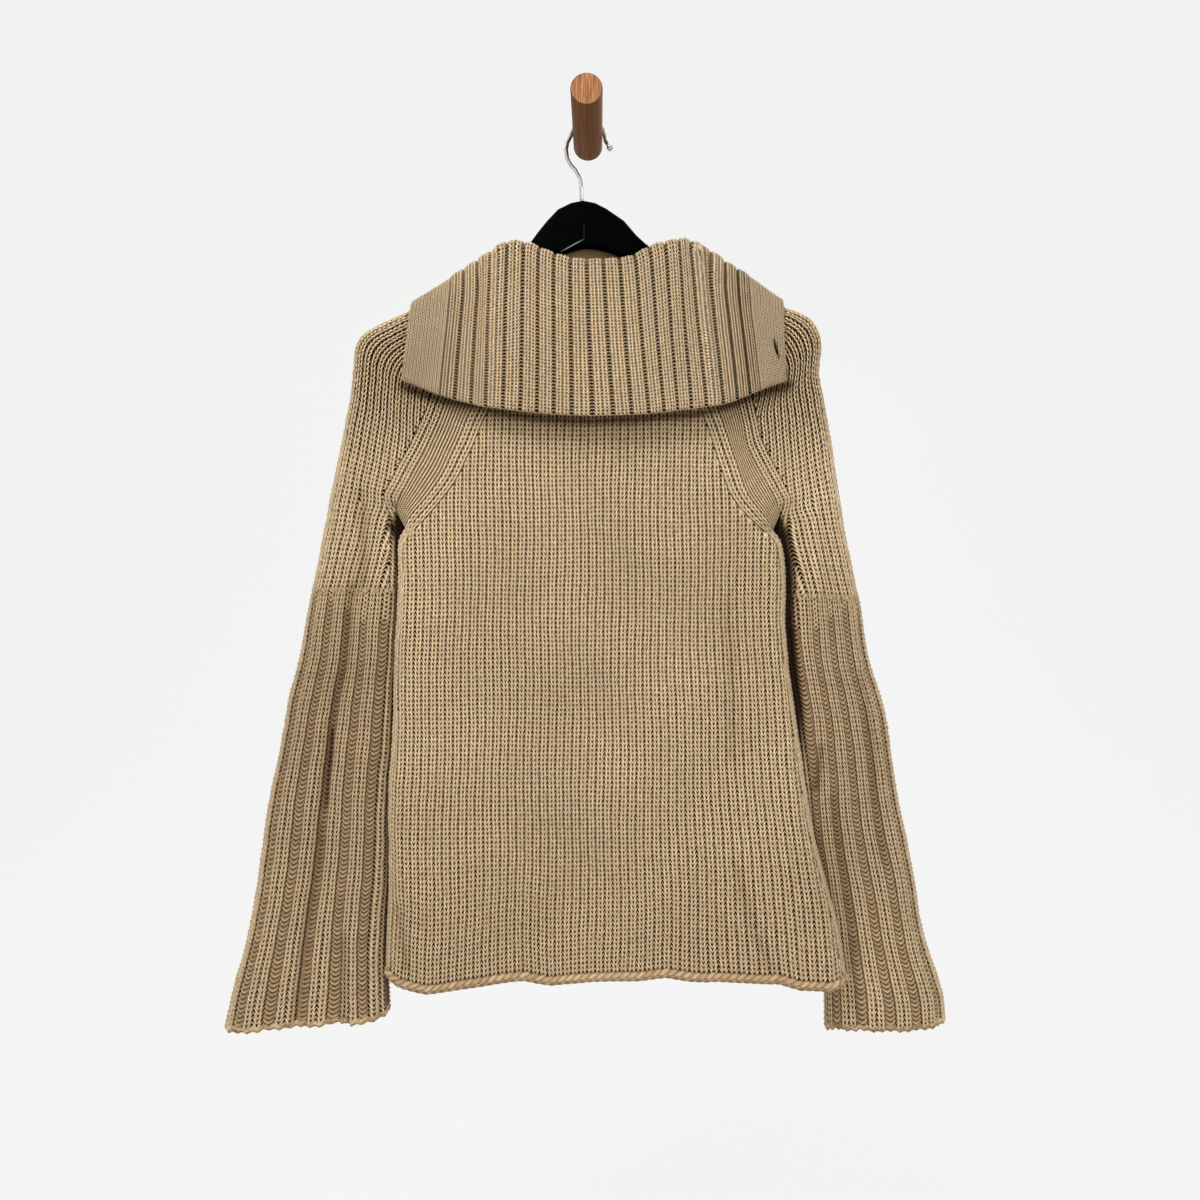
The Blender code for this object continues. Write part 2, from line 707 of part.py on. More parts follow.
def collar_sections():
    """Places along the strip, and the middle of the wall at each, as a grid."""
    sections = [(row[0], over_shoulder(row, "left")) for row in COLLAR_ENDS["left"]]
    sections += [(row[0], folded_at_neck(row)) for row in COLLAR_FOLD]
    sections += [(row[0], over_shoulder(row, "right")) for row in COLLAR_ENDS["right"]]
    return np.array([s[0] for s in sections], float), np.array([s[1] for s in sections])


def collar_pieces():
    """The folded strip cut into its ribbed middle and its two plain end bands."""
    places, sections = collar_sections()
    cuts = (
        ("collar_band_left", 0, COLLAR_BAND, 4, 4, 0),
        ("collar", COLLAR_BAND, COLLAR_LENGTH - COLLAR_BAND, COLLAR_RIBS * 4, COLLAR_RIBS * 2, 1),
        ("collar_band_right", COLLAR_LENGTH - COLLAR_BAND, COLLAR_LENGTH, 4, 4, 0),
    )
    at = np.concatenate([[0.0]] + [np.linspace(cut[1], cut[2], cut[3] + 1)[1:] for cut in cuts])
    middle = spline(at, places, sections.reshape(len(places), -1)).reshape(len(at), -1, 3)
    lift = COLLAR_LIFT + sum(more * np.exp(-(((at - p) / 14) ** 2)) for p, more in NECK_SIDES)
    middle = pushed_clear(middle, np.repeat(lift, middle.shape[1]))
    across = np.gradient(middle, at, axis=0)
    across /= np.linalg.norm(across, axis=2)[..., None]
    normals = np.cross(np.gradient(middle, axis=1), across)
    normals /= np.linalg.norm(normals, axis=2)[..., None]
    half = COLLAR_WALL / 2
    first = 0
    for name, start, stop, columns, coarse, ribbed in cuts:
        last = first + columns
        sheet = middle[first : last + 1].copy()
        sheet[0] += across[first] * SEAM * (start > 0)
        sheet[-1] -= across[last] * SEAM * (stop < COLLAR_LENGTH)
        out = normals[first : last + 1]
        cut = groove(np.linspace(0, COLLAR_RIBS, columns + 1), COLLAR_GROOVE) * ribbed
        outer = sheet + out * (half - cut)[:, None, None]
        inner = (sheet - out * half)[:: columns // coarse]
        wall(name, outer.transpose(1, 0, 2), inner.transpose(1, 0, 2), COLLAR_KNIT)
        first = last


# ---------------------------------------------------------------- hanger, hook and peg


def hanger():
    """A lacquered bar, thickened and arched in the middle: a loft of rounded sections along x."""
    rows = []
    for x0, z0, x1, z1 in HANGER_ARMS:
        for share in (0, 0.2, 0.4, 0.6, 0.75, 0.87, 0.95, 0.985, 1.0):
            top = z0 + (z1 - z0) * share - 5.0 * share**30
            height = HANGER_ARM_HEIGHT + (HANGER_TIP_HEIGHT - HANGER_ARM_HEIGHT) * share**3
            height -= 8.0 * share**30
            rows.append((x0 + (x1 - x0) * share, top, top - height))
    rows += [tuple(row) for row in HANGER_ARCH]
    rows.sort()
    ring = np.linspace(0, 2 * np.pi, 13)[:-1]
    sections = []
    for x, top, bottom in rows:
        crest = min(8.0, (top - bottom) / 2)
        y = OUTLINE_Y + HANGER_HALF_DEPTH * np.sin(ring)
        up = np.cos(ring)
        z = np.where(up > 0, top - crest + crest * up, bottom + 4 + 4 * up)
        sections.append(np.stack([np.full(12, x), y, z], axis=-1))
    sections = np.array(sections)
    count = len(sections)
    number = np.arange(count * 12).reshape(count, 12)
    turned = np.roll(number, -1, axis=1)
    quads = np.stack([number[:-1], number[1:], turned[1:], turned[:-1]], axis=-1).reshape(-1, 4)
    faces = [tuple(int(i) for i in quad) for quad in quads]
    faces += [tuple(int(i) for i in number[0]), tuple(int(i) for i in number[-1][::-1])]
    return add_object("hanger", closed_mesh("hanger", sections.reshape(-1, 3), faces), BLACK)


def hook():
    """Steel wire: up from the hanger, round the peg's left side and over it, ending in a ball."""
    ring = PEG_RADIUS + HOOK_WIRE + 0.3
    turn = [math.radians(a) for a in range(175, 4, -10)]
    path = [(-5.9, -25, -64.1), (-6.1, -25, -52), (-7.4, -24, -42), (-11.5, -22.5, -34.5)]
    path += [(-16.5, -21, -28.2), (-20.2, -19.5, -20), (-21.3, -18.5, -12), (-20, -18, -4.5)]
    path += [(ring * math.cos(a), -18, ring * math.sin(a)) for a in turn]
    path += [(17.6, -18, -3.4), (19.6, -18, -6.6)]
    curve = bpy.data.curves.new("hook", "CURVE")
    curve.dimensions = "3D"
    curve.bevel_depth = HOOK_WIRE * MM
    curve.bevel_resolution = 2
    curve.use_fill_caps = True
    spline = curve.splines.new("POLY")
    spline.points.add(len(path) - 1)
    for point, place in zip(spline.points, np.array(path) * MM):
        point.co = (*place, 1.0)
    wire = bpy.data.objects.new("hook", curve)
    curve.materials.append(STEEL)
    PARTS.objects.link(wire)
    tip_radius = 3.4
    ahead = np.array([2.0, 0.0, -3.2]) / math.hypot(2.0, 3.2)
    centre = (np.array(path[-1]) + ahead * (tip_radius + 0.3)) * MM
    bpy.ops.mesh.primitive_uv_sphere_add(
        segments=12, ring_count=8, radius=tip_radius * MM, location=tuple(centre)
    )
    tip = bpy.context.object
    tip.name = tip.data.name = "hook_tip"
    tip.data.materials.append(STEEL)
    for owner in tip.users_collection:
        owner.objects.unlink(tip)
    PARTS.objects.link(tip)
    return wire, tip


def peg():
    """A round wooden dowel that stands straight out of the wall."""
    bpy.ops.mesh.primitive_cylinder_add(
        vertices=40,
        radius=PEG_RADIUS * MM,
        depth=PEG_LENGTH * MM,
        location=(0, -PEG_LENGTH * MM / 2, 0),
        rotation=(math.pi / 2, 0, 0),
    )
    made = bpy.context.object
    made.name = made.data.name = "peg"
    made.data.materials.append(WOOD)
    bevel = made.modifiers.new("chamfer", "BEVEL")
    bevel.width = PEG_CHAMFER * MM
    bevel.segments = 1
    bevel.limit_method = "ANGLE"
    for owner in made.users_collection:
        owner.objects.unlink(made)
    PARTS.objects.link(made)
    return made


for hand in ("left", "right"):
    sleeve(hand)
    for where in (NEAR, FAR):
        raglan_strip(hand, where)
panel("front_panel", "front", NEAR, FRONT_COLUMNS)
panel("back_panel", "back", FAR, BACK_COLUMNS)
hem_roll()
collar_pieces()
hanger()
hook()
peg()
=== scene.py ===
"""A chunky knitted sweater with flared, ribbed sleeves, on a black hanger that hooks over a wooden peg.

Metres, +Z up, +X to the viewer's right, +Y into the wall; the origin is the middle of the peg's wall
face. Knitted pieces are worked out in millimetres and turned into metres as their meshes are made.
Left and right are the viewer's.
"""

import math

import bpy
import numpy as np
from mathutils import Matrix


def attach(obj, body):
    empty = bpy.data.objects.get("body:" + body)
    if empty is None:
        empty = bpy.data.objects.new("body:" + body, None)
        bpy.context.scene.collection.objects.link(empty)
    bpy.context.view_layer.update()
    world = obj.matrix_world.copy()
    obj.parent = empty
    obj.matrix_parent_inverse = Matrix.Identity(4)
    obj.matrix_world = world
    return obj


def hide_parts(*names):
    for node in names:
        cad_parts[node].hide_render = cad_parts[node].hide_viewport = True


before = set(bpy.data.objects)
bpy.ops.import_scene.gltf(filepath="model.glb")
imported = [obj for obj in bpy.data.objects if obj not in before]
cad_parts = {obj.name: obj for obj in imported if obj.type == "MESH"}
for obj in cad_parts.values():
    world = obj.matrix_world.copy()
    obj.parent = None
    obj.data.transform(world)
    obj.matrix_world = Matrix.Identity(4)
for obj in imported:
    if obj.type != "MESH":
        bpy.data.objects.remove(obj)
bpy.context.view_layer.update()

# ------------------------------------------------------------------ camera, floor and light
# The camera stands level with the middle of the sweater and looks straight at the wall. A pale paper
# sweep is the floor and the far background; three soft boxes and a pale sky light it.

camera = bpy.data.objects.new("camera", bpy.data.cameras.new("camera"))
bpy.context.scene.collection.objects.link(camera)
camera.location = (0.0119, -0.896, -0.4505)
camera.rotation_euler = (math.pi / 2, 0.0, 0.0)
camera.data.sensor_width = 36.0
camera.data.lens = 27.03
bpy.context.scene.camera = camera
bpy.context.scene.view_settings.view_transform = "Standard"
bpy.context.scene.view_settings.look = "None"


def paper_sweep(width, front, back, floor, top, radius):
    """A flat floor that curves up into an upright back: a quarter circle between two straight runs,
    carried along x."""
    turn = np.linspace(-np.pi / 2, 0, 25)
    y = np.concatenate([[front], back - radius + radius * np.cos(turn), [back]])
    z = np.concatenate([[floor], floor + radius + radius * np.sin(turn), [top]])
    left, right = (np.stack([np.full(len(y), x), y, z], axis=1) for x in (-width / 2, width / 2))
    points = np.concatenate([left, right])
    a = np.arange(len(y) - 1)
    faces = np.stack([a, a + len(y), a + len(y) + 1, a + 1], axis=1)
    mesh = bpy.data.meshes.new("paper_sweep")
    mesh.from_pydata(points.tolist(), [], faces.tolist())
    mesh.shade_smooth()
    made = bpy.data.objects.new("paper_sweep", mesh)
    bpy.context.scene.collection.objects.link(made)
    return made


sweep = paper_sweep(width=16.0, front=-5.0, back=2.6, floor=-1.35, top=4.5, radius=1.6)
paper = bpy.data.materials.new("pale_paper")
paper.use_nodes = True
paper_shader = paper.node_tree.nodes["Principled BSDF"]
paper_shader.inputs["Base Color"].default_value = (0.12, 0.12, 0.12, 1.0)
paper_shader.inputs["Roughness"].default_value = 1.0
paper_shader.inputs["Specular IOR Level"].default_value = 0.0
paper_shader.inputs["Emission Color"].default_value = (1.0, 1.0, 1.0, 1.0)
paper_shader.inputs["Emission Strength"].default_value = 0.785
sweep.data.materials.append(paper)

sky = bpy.data.worlds.new("pale_sky")
bpy.context.scene.world = sky
sky.use_nodes = True
sky.node_tree.nodes["Background"].inputs["Color"].default_value = (1.0, 0.985, 0.965, 1.0)
sky.node_tree.nodes["Background"].inputs["Strength"].default_value = 0.62


def soft_box(name, place, aim, size, watts, colour):
    """A square area light at place, turned to face aim."""
    lamp = bpy.data.lights.new(name, "AREA")
    lamp.size = size
    lamp.energy = watts
    lamp.color = colour
    made = bpy.data.objects.new(name, lamp)
    bpy.context.scene.collection.objects.link(made)
    made.location = place
    away = np.array(place, float) - np.array(aim, float)
    flat = math.hypot(away[0], away[1])
    made.rotation_euler = (math.atan2(flat, away[2]), 0.0, math.atan2(away[1], away[0]) + math.pi / 2)


soft_box("key_light", (-0.9, -1.7, 1.5), (0.0, 0.0, -0.4), 0.9, 34.0, (1.0, 0.98, 0.95))
soft_box("fill_light", (1.9, -1.6, 0.4), (0.0, 0.0, -0.5), 1.6, 12.0, (0.97, 0.98, 1.0))
soft_box("back_light", (0.3, 1.9, 1.4), (0.0, 0.0, -0.4), 1.6, 22.0, (1.0, 0.99, 0.97))


class Wire:
    """A node's output. Reckoning with wires and plain numbers makes maths nodes."""

    def __init__(self, made, output=0):
        self.socket, self.tree = made.outputs[output], made.id_data

    def maths(self, operation, *others):
        values = dict(enumerate((self, *others)))
        return Wire(node(self.tree, "ShaderNodeMath", values, operation=operation))

    def __add__(self, other):
        return self.maths("ADD", other)

    def __sub__(self, other):
        return self.maths("SUBTRACT", other)

    def __mul__(self, other):
        return self.maths("MULTIPLY", other)

    def __pow__(self, other):
        return self.maths("POWER", other)

    def __abs__(self):
        return self.maths("ABSOLUTE")


def feed(made, values):
    """Sets a node's inputs, by name or number, to plain values or links them to wires."""
    for key, value in values.items():
        if isinstance(value, Wire):
            made.id_data.links.new(value.socket, made.inputs[key])
        else:
            made.inputs[key].default_value = value
    return made


def node(tree, kind, values, **settings):
    """A new node of that kind with its settings and its inputs' values."""
    made = tree.nodes.new(kind)
    for key, value in settings.items():
        setattr(made, key, value)
    return feed(made, values)


def finish_of(name, roughness, metallic=0.0):
    """A new material, its shader, and the place on the object as a wire."""
    made = bpy.data.materials.new(name)
    made.use_nodes = True
    shader = made.node_tree.nodes["Principled BSDF"]
    feed(shader, {"Roughness": roughness, "Metallic": metallic})
    return made, shader, Wire(node(made.node_tree, "ShaderNodeTexCoord", {}), "Object")


def paint(finish, *names):
    """Puts a material on pieces of the frame that show as they are."""
    for name in names:
        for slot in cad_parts[name].material_slots:
            slot.material = finish


def axes(vector):
    """A vector's x, y and z."""
    made = node(vector.tree, "ShaderNodeSeparateXYZ", {0: vector})
    return [Wire(made, k) for k in range(3)]


def blend(share, a, b, mode="MIX"):
    """Mixes two colours by a share."""
    values = {0: share, 6: a, 7: b}
    return Wire(node(a.tree, "ShaderNodeMix", values, data_type="RGBA", blend_type=mode), 2)


def ramp(share, stops):
    """A colour ramp through (place, colour) stops."""
    made = node(share.tree, "ShaderNodeValToRGB", {0: share})
    line = made.color_ramp
    while len(line.elements) < len(stops):
        line.elements.new(0.5)
    for element, (place, colour) in zip(line.elements, stops):
        element.position = place
        element.color = (*colour, 1.0)
    return Wire(made)


def noise(vector, scale, detail=2.0, rough=0.5):
    """A noise texture's value over a vector."""
    values = {"Vector": vector, "Scale": scale, "Detail": detail, "Roughness": rough}
    return Wire(node(vector.tree, "ShaderNodeTexNoise", values), "Fac")


def bump(shader, height, distance, strength=1.0):
    """Puts a bump of that height on the shader."""
    values = {"Height": height, "Strength": strength, "Distance": distance}
    feed(shader, {"Normal": Wire(node(height.tree, "ShaderNodeBump", values))})


def soft_step(value, low, high):
    """Smoothly from 0, where value is at low, to 1, where it is at high."""
    values = {0: value, 1: low, 2: high}
    return Wire(node(value.tree, "ShaderNodeMapRange", values, interpolation_type="SMOOTHSTEP"))


def stretched(vector, scale, turn=(0.0, 0.0, 0.0)):
    """The vector scaled along each axis, after a turn."""
    values = {"Vector": vector, "Scale": scale, "Rotation": turn}
    return Wire(node(vector.tree, "ShaderNodeMapping", values))


# ------------------------------------------------------------------ peg
# A turned oak dowel, oiled, fixed straight into the wall. Its grain runs along its length and shows
# as short lines on the sawn end.

PEG_END = -0.1025  # the sawn end stands at this y or nearer

oak, shader, place = finish_of("oiled_oak", 0.55)
lines = noise(stretched(place, (420.0, 9.0, 90.0)), 1.0, 4.0, 0.6)
broad = noise(stretched(place, (90.0, 3.0, 30.0)), 1.0)
grain = lines * 0.6 + broad * 0.4
side_tone = ramp(grain, ((0.3, (0.066, 0.022, 0.005)), (0.52, (0.135, 0.052, 0.015)),
                         (0.72, (0.20, 0.088, 0.030))))
pores = noise(stretched(place, (900.0, 14.0, 500.0)), 1.0, 1.0)
pores = ramp(pores, ((0.60, (1.0, 1.0, 1.0)), (0.72, (0.55, 0.5, 0.45))))
side_tone = blend(0.7, side_tone, pores, "MULTIPLY")
rings = noise(stretched(place, (620.0, 30.0, 34.0)), 1.0, 3.0, 0.65)
end_tone = ramp(rings, ((0.34, (0.20, 0.072, 0.024)), (0.5, (0.40, 0.175, 0.072)),
                        (0.68, (0.58, 0.30, 0.155))))
is_end = axes(place)[1].maths("LESS_THAN", PEG_END)
feed(shader, {"Base Color": blend(is_end, side_tone, end_tone), "Specular IOR Level": 0.06})
bump(shader, grain, 0.0004)
paint(oak, "peg")

# ------------------------------------------------------------------ hook
# Bright steel wire, bent over the peg and closed with a small ball; drawn, so faint lines run
# along it.

steel, shader, place = finish_of("drawn_steel", 0.24, 1.0)
drawn = noise(stretched(place, (900.0, 900.0, 160.0)), 1.0)
feed(shader, {"Base Color": ramp(drawn, ((0.3, (0.42, 0.41, 0.39)), (0.7, (0.72, 0.71, 0.68))))})
bump(shader, drawn, 0.00005)
paint(steel, "hook", "hook_tip")

# ------------------------------------------------------------------ hanger
# A wide bar arched in the middle, sprayed with black lacquer over wood, with a satin gloss and a few
# fine rub marks.

lacquer, shader, place = finish_of("black_lacquer", 0.34)
cloudy = noise(place, 60.0, 3.0, 0.6)
black = ramp(cloudy, ((0.35, (0.0003, 0.0006, 0.0005)), (0.75, (0.0014, 0.0021, 0.0020))))
# The two halves meet in an upright joint, which carries a faint painted highlight, and a painted
# highlight (a glint) runs along the left one's lower arris.
x, _, z = axes(place)
over, up = x + 0.0294, z + 0.1176  # from a point on that arris, whose slope is 28 degrees
rise, run = up * 0.882 - over * 0.471, up * 0.471 + over * 0.882
arris_glint = soft_step(abs(rise), 0.0007, 0.0002) * soft_step(abs(run - 0.0165), 0.0150, 0.004)
joint_glint = soft_step(abs(x + 0.0035), 0.0006, 0.0002) * soft_step(abs(z + 0.0965), 0.0080, 0.006)
# painted highlights: a bright glint along the arris and a faint one on the joint
black = blend(arris_glint, black, (0.30, 0.30, 0.31, 1.0))
black = blend(joint_glint * 0.5, black, (0.03, 0.032, 0.036, 1.0))
rub = noise(stretched(place, (60.0, 60.0, 420.0), (0.0, 0.6, 0.0)), 1.0, 3.0, 0.7)
feed(shader, {"Base Color": black, "Specular IOR Level": 0.012, "Roughness": rub * 0.22 + 0.26})
bump(shader, rub, 0.00006)
paint(lacquer, "hanger")
# ------------------------------------------------------------------ front and back of the body
# Two panels of thick oatmeal wool in plain knit, cut away along the raglan seams and rounded over
# the sides. The stitches stand out of the cloth as pairs of slanting legs, column by column.

NEAR, FAR = -1.0, 1.0
SILHOUETTE_Y = -25.0  # plane in which the garment's outline lies
ROUNDING = 22.0  # how far in from a silhouette the cloth turns level
BODY_DEPTH = ((-815, 20.0, 13.0), (-600, 17.0, 12.0), (-380, 15.0, 12.0), (-100, 14.0, 12.0))
SLEEVE_DEPTH = ((-860, 24.0, 17.0), (-600, 19.0, 14.0), (-380, 16.0, 12.0), (-100, 14.0, 12.0))
# Sides of the body: height, left edge, right edge
BODY_SIDES = (
    (-395, -182.5, 185.5), (-425, -183.5, 190.3), (-475, -184.5, 191.3), (-550, -187.8, 198.0),
    (-622, -191.0, 208.6), (-690, -192.0, 220.0), (-752, -193.0, 235.0), (-803, -193.5, 245.5),
)
UNDERARM = {"left": (-176.0, -380.0), "right": (178.0, -383.0)}
# Sleeves below the underarm, cuff first: inner edge x and z, outer edge x and z
SLEEVE_LOW = {
    "left": (
        (-195.5, -847, -348.0, -858), (-196.7, -812, -339.5, -822), (-197.5, -768, -328.0, -776),
        (-196.5, -714, -317.0, -714), (-194.8, -655, -306.5, -648), (-192.6, -600, -297.0, -596),
        (-191.0, -551, -288.5, -546), (-187.6, -505, -277.0, -505), (-186.6, -465, -269.5, -466),
        (-186.2, -425, -262.0, -426), (-186.0, -392, -255.5, -388), (-183.5, -364, -249.0, -356),
    ),
    "right": (
        (231.0, -867, 342.5, -850), (231.0, -825, 339.0, -822), (227.0, -768, 324.0, -771),
        (220.0, -710, 311.5, -708), (213.0, -655, 301.0, -650), (207.5, -600, 292.0, -598),
        (203.2, -551, 283.5, -548), (199.0, -505, 271.0, -505), (196.8, -465, 264.0, -466),
        (195.8, -425, 256.0, -427), (191.5, -395, 250.0, -393), (185.0, -369, 244.5, -358),
    ),
}
# Shoulder line above it: share of the way up the raglan seam, x and z
SHOULDER = {
    "left": (
        (0.10, -241.0, -322), (0.20, -234.0, -286), (0.30, -229.0, -252), (0.38, -226.2, -226),
        (0.46, -224.0, -207), (0.54, -215.0, -193.5), (0.63, -198.0, -184), (0.73, -169.0, -170),
        (0.83, -138.0, -151.5), (0.92, -112.0, -135), (1.00, -92.0, -123.5),
    ),
    "right": (
        (0.10, 238.0, -322), (0.20, 232.0, -286), (0.30, 226.5, -252), (0.38, 223.8, -230),
        (0.46, 225.8, -202), (0.54, 218.5, -183), (0.63, 205.0, -173.5), (0.73, 184.0, -166),
        (0.83, 155.0, -146), (0.92, 130.0, -131), (1.00, 109.5, -121.5),
    ),
}
# Raglan seams from the underarm to the neck: the body's edge of the ribbed band between them
RAGLAN_BODY = {
    ("left", NEAR): ((-176, -380), (-145, -342), (-128, -308), (-110, -266), (-60, -162)),
    ("right", NEAR): ((178, -383), (154, -352), (141.5, -316), (124.5, -270), (72, -161)),
    ("left", FAR): ((-176, -380), (-128, -300), (-60, -110)),
    ("right", FAR): ((178, -383), (132, -300), (76, -107)),
}
# Soft folds: start x and z, end x and z, half width, height out of the cloth
FOLDS = {
    "front": (
        (134, -430, 150, -650, 20, 4.5), (128, -650, 176, -820, 22, 5.0),
        (98, -680, 118, -820, 15, -3.0), (40, -540, 30, -820, 34, 3.0),
        (-55, -500, -72, -820, 30, -2.5), (-122, -450, -138, -820, 28, 3.0),
        (-172, -700, -178, -820, 13, -3.0),
    ),
    "back": (
        (110, -430, 130, -820, 26, 2.5), (20, -500, 35, -820, 32, -2.0),
        (-90, -450, -105, -820, 30, 2.5),
    ),
    "left": (
        (-219, -340, -213, -440, 13, -4.0), (-246, -570, -255, -670, 9, -4.0),
        (-252, -660, -234, -870, 11, -4.0),
    ),
    "right": (
        (214, -345, 217, -450, 13, 3.0), (222, -585, 224, -650, 9, -3.0),
        (262, -640, 284, -870, 14, -3.0),
    ),
}
# Where the collar's free edge shades the cloth beneath it, as a crease without depth
UNDER_COLLAR = (((-176, -247), (-146.5, -257.7), (-109, -267), (-62.6, -276), (12, -279.5),
                 (86.4, -275.5), (133, -266), (151.6, -258.6), (191, -247)), 6.0, 0.0, 0.80)
# Sharper creases: line, half width, depth, how much painted shade darkens them
CREASES = {
    "left": (
        (((-223, -438), (-225.5, -450), (-231, -507), (-241, -551), (-247.6, -612), (-253.3, -656),
          (-257.3, -699), (-266.3, -768), (-276.5, -850)), 6.5, 3.6, 0.38),
        (((-242.5, -575), (-245.5, -612), (-249, -648)), 2.0, 1.5, 0.6),
        (((-216, -350), (-215.5, -395), (-214, -436)), 7.0, 2.6, 0.26),
        (((-200, -430), (-199, -520), (-203, -600)), 5.0, -1.6, 0.0),
        (((-229, -770), (-231, -815), (-232.5, -860)), 4.0, 3.2, 0.36),
        UNDER_COLLAR,
    ),
    "right": (
        (((213, -355), (214, -400), (216, -445)), 7.0, -2.4, -0.06),
        (((221, -592), (219.5, -612), (218.5, -634)), 4.0, 3.0, 0.40),
        (((236, -640), (247, -720), (256, -800), (262, -870)), 6.0, 2.6, 0.28),
        (((262, -520), (270, -600), (281, -700)), 6.0, 2.0, 0.22),
        UNDER_COLLAR,
    ),
    "front": (
        (((134, -455), (136, -520), (137.5, -600)), 9.0, 2.2, 0.14),
        (((140, -700), (152, -745), (172, -795)), 8.0, 2.4, 0.18),
        (((-182, -745), (-177, -775), (-171, -800)), 7.0, 2.4, 0.26),
        UNDER_COLLAR,
    ),
}
# How far each sleeve's inner edge is tucked behind the body, and how wide the painted shade in
# the cleft between them is: height, tuck, width
CLEFT = {
    "left": (
        (-860, 3.5, 0.6), (-700, 5.5, 1.4), (-600, 5.5, 1.8), (-425, 5.0, 2.6), (-392, 8.0, 4.5),
        (-378, 11.0, 7.5), (-366, 5.0, 3.0), (-360, 0.0, 0.0),
    ),
    "right": (
        (-860, 0.0, 0.0), (-650, 2.0, 0.6), (-600, 6.0, 3.0), (-551, 8.0, 4.8), (-425, 8.5, 5.2),
        (-398, 9.5, 5.6), (-384, 9.0, 6.0), (-372, 4.0, 3.0), (-364, 0.0, 0.0),
    ),
}
# Middle line of the rolled hem: x, height
HEM_LINE = (
    (-193.5, -806), (-178, -814), (-150, -818), (-105, -813), (-60, -807), (-35, -810.5),
    (5, -806.5), (50, -806), (75, -803.5), (112, -808.5), (180, -805), (200, -810.5),
    (228, -811.5), (246, -807),
)
HEM_RADIUS = 4.3
HEM_LEVEL = -803.0  # height from which the rows of the body are counted
# Neckline: x and height of its left end, its width, how far it rises to the right
NECKLINE = {NEAR: (-60.0, -162.0, 132.0, 1.0), FAR: (-60.0, -110.0, 136.0, 3.0)}
NECK_DIP = {NEAR: -14.0, FAR: 9.0}  # how far the neckline's middle lies above its ends


def smooth(value, low, high):
    """0 below low, 1 above high, and 3s^2 - 2s^3 between."""
    share = np.clip((value - low) / (high - low), 0, 1)
    return share * share * (3 - 2 * share)


def read_line(points, places):
    """The smooth line through the points, read at places counted in points from the first: a
    Catmull-Rom cubic in each step, straight on at the ends."""
    points = np.asarray(points, float)
    ends = (2 * points[:1] - points[1:2], points, 2 * points[-1:] - points[-2:-1])
    padded = np.concatenate(ends)
    places = np.clip(places, 0, len(points) - 1)
    i = np.minimum(places.astype(int), len(points) - 2)
    t = (places - i)[..., None]
    a, b, c, d = (padded[i + k] for k in range(4))
    return b + 0.5 * t * (c - a + t * (2 * a - 5 * b + 4 * c - d + t * (3 * (b - c) + d - a)))


def finer(points, times):
    """The smooth line through the points, each step cut into `times` equal ones."""
    return read_line(points, np.linspace(0, len(points) - 1, (len(points) - 1) * times + 1))


def along(points, shares):
    """Points at given shares of a polyline's length."""
    points = np.asarray(points, float)
    length = np.concatenate([[0], np.cumsum(np.linalg.norm(np.diff(points, axis=0), axis=1))])
    at = np.asarray(shares, float) * length[-1]
    return np.stack([np.interp(at, length, points[:, i]) for i in range(points.shape[1])], axis=-1)


def sleeve_side(side):
    """The sleeve's inner silhouette from below the cuff to the underarm, and across to the body."""
    low = np.array([row[:2] for row in SLEEVE_LOW[side]], float)
    low = np.concatenate([[2 * low[0] - low[1]], low])
    return np.concatenate([finer(low, 6), [UNDERARM[side]]])


def body_side(side):
    """The body's silhouette from the sleeve's end at the underarm down past the hem."""
    column = 1 if side == "left" else 2
    down = np.array([UNDERARM[side]] + [(row[column], row[0]) for row in BODY_SIDES], float)
    down = np.concatenate([down, [[down[-1, 0], -900.0]]])
    return np.concatenate([[SLEEVE_LOW[side][-1][:2]], finer(down, 6)])


def shoulder_line(side):
    """From the sleeve's outer edge at the underarm's height over the shoulder to the neck."""
    start = [SLEEVE_LOW[side][-1][2:]]
    return np.array(start + [row[1:] for row in SHOULDER[side]], float)


def outside_line(side):
    """The garment's outer silhouette: up the sleeve's outer edge and over the shoulder."""
    low = np.array([row[2:] for row in SLEEVE_LOW[side]], float)
    low = np.concatenate([[2 * low[0] - low[1]], low])
    return finer(np.concatenate([low, shoulder_line(side)[1:]]), 6)


# Each line, and 1 where the cloth lies to the left of its course or -1 where it lies to the right
SILHOUETTES = {}
for side, hand in (("left", 1), ("right", -1)):
    SILHOUETTES[side] = {
        "sleeve": (sleeve_side(side), hand), "body": (body_side(side), hand),
        "outside": (outside_line(side), -hand),
    }


def nearest(points, line):
    """Distance from each point to a polyline, the polyline's nearest points, and its course there."""
    gaps, feet, course = [], [], []
    a, span = line[:-1].astype(np.float32), np.diff(line, axis=0).astype(np.float32)
    size = np.maximum((span**2).sum(axis=1), 1e-6)
    for block in np.array_split(points.astype(np.float32), max(1, len(points) // 16000)):
        off_x, off_z = block[:, None, 0] - a[:, 0], block[:, None, 1] - a[:, 1]
        share = np.clip((off_x * span[:, 0] + off_z * span[:, 1]) / size, 0, 1)
        gap = (off_x - share * span[:, 0]) ** 2 + (off_z - share * span[:, 1]) ** 2
        pick = gap.argmin(axis=1)
        rows = np.arange(len(block))
        feet.append(a[pick] + share[rows, pick][:, None] * span[pick])
        gaps.append(np.sqrt(gap[rows, pick]))
        course.append((span / np.sqrt(size)[:, None])[pick])
    return tuple(np.concatenate(found).astype(float) for found in (gaps, feet, course))


def read_depth(table, height, face):
    """The depth that a table gives at a height, for the near or the far face."""
    heights, near, far = np.array(table, float).T
    return np.interp(height, heights, near if face == NEAR else far)


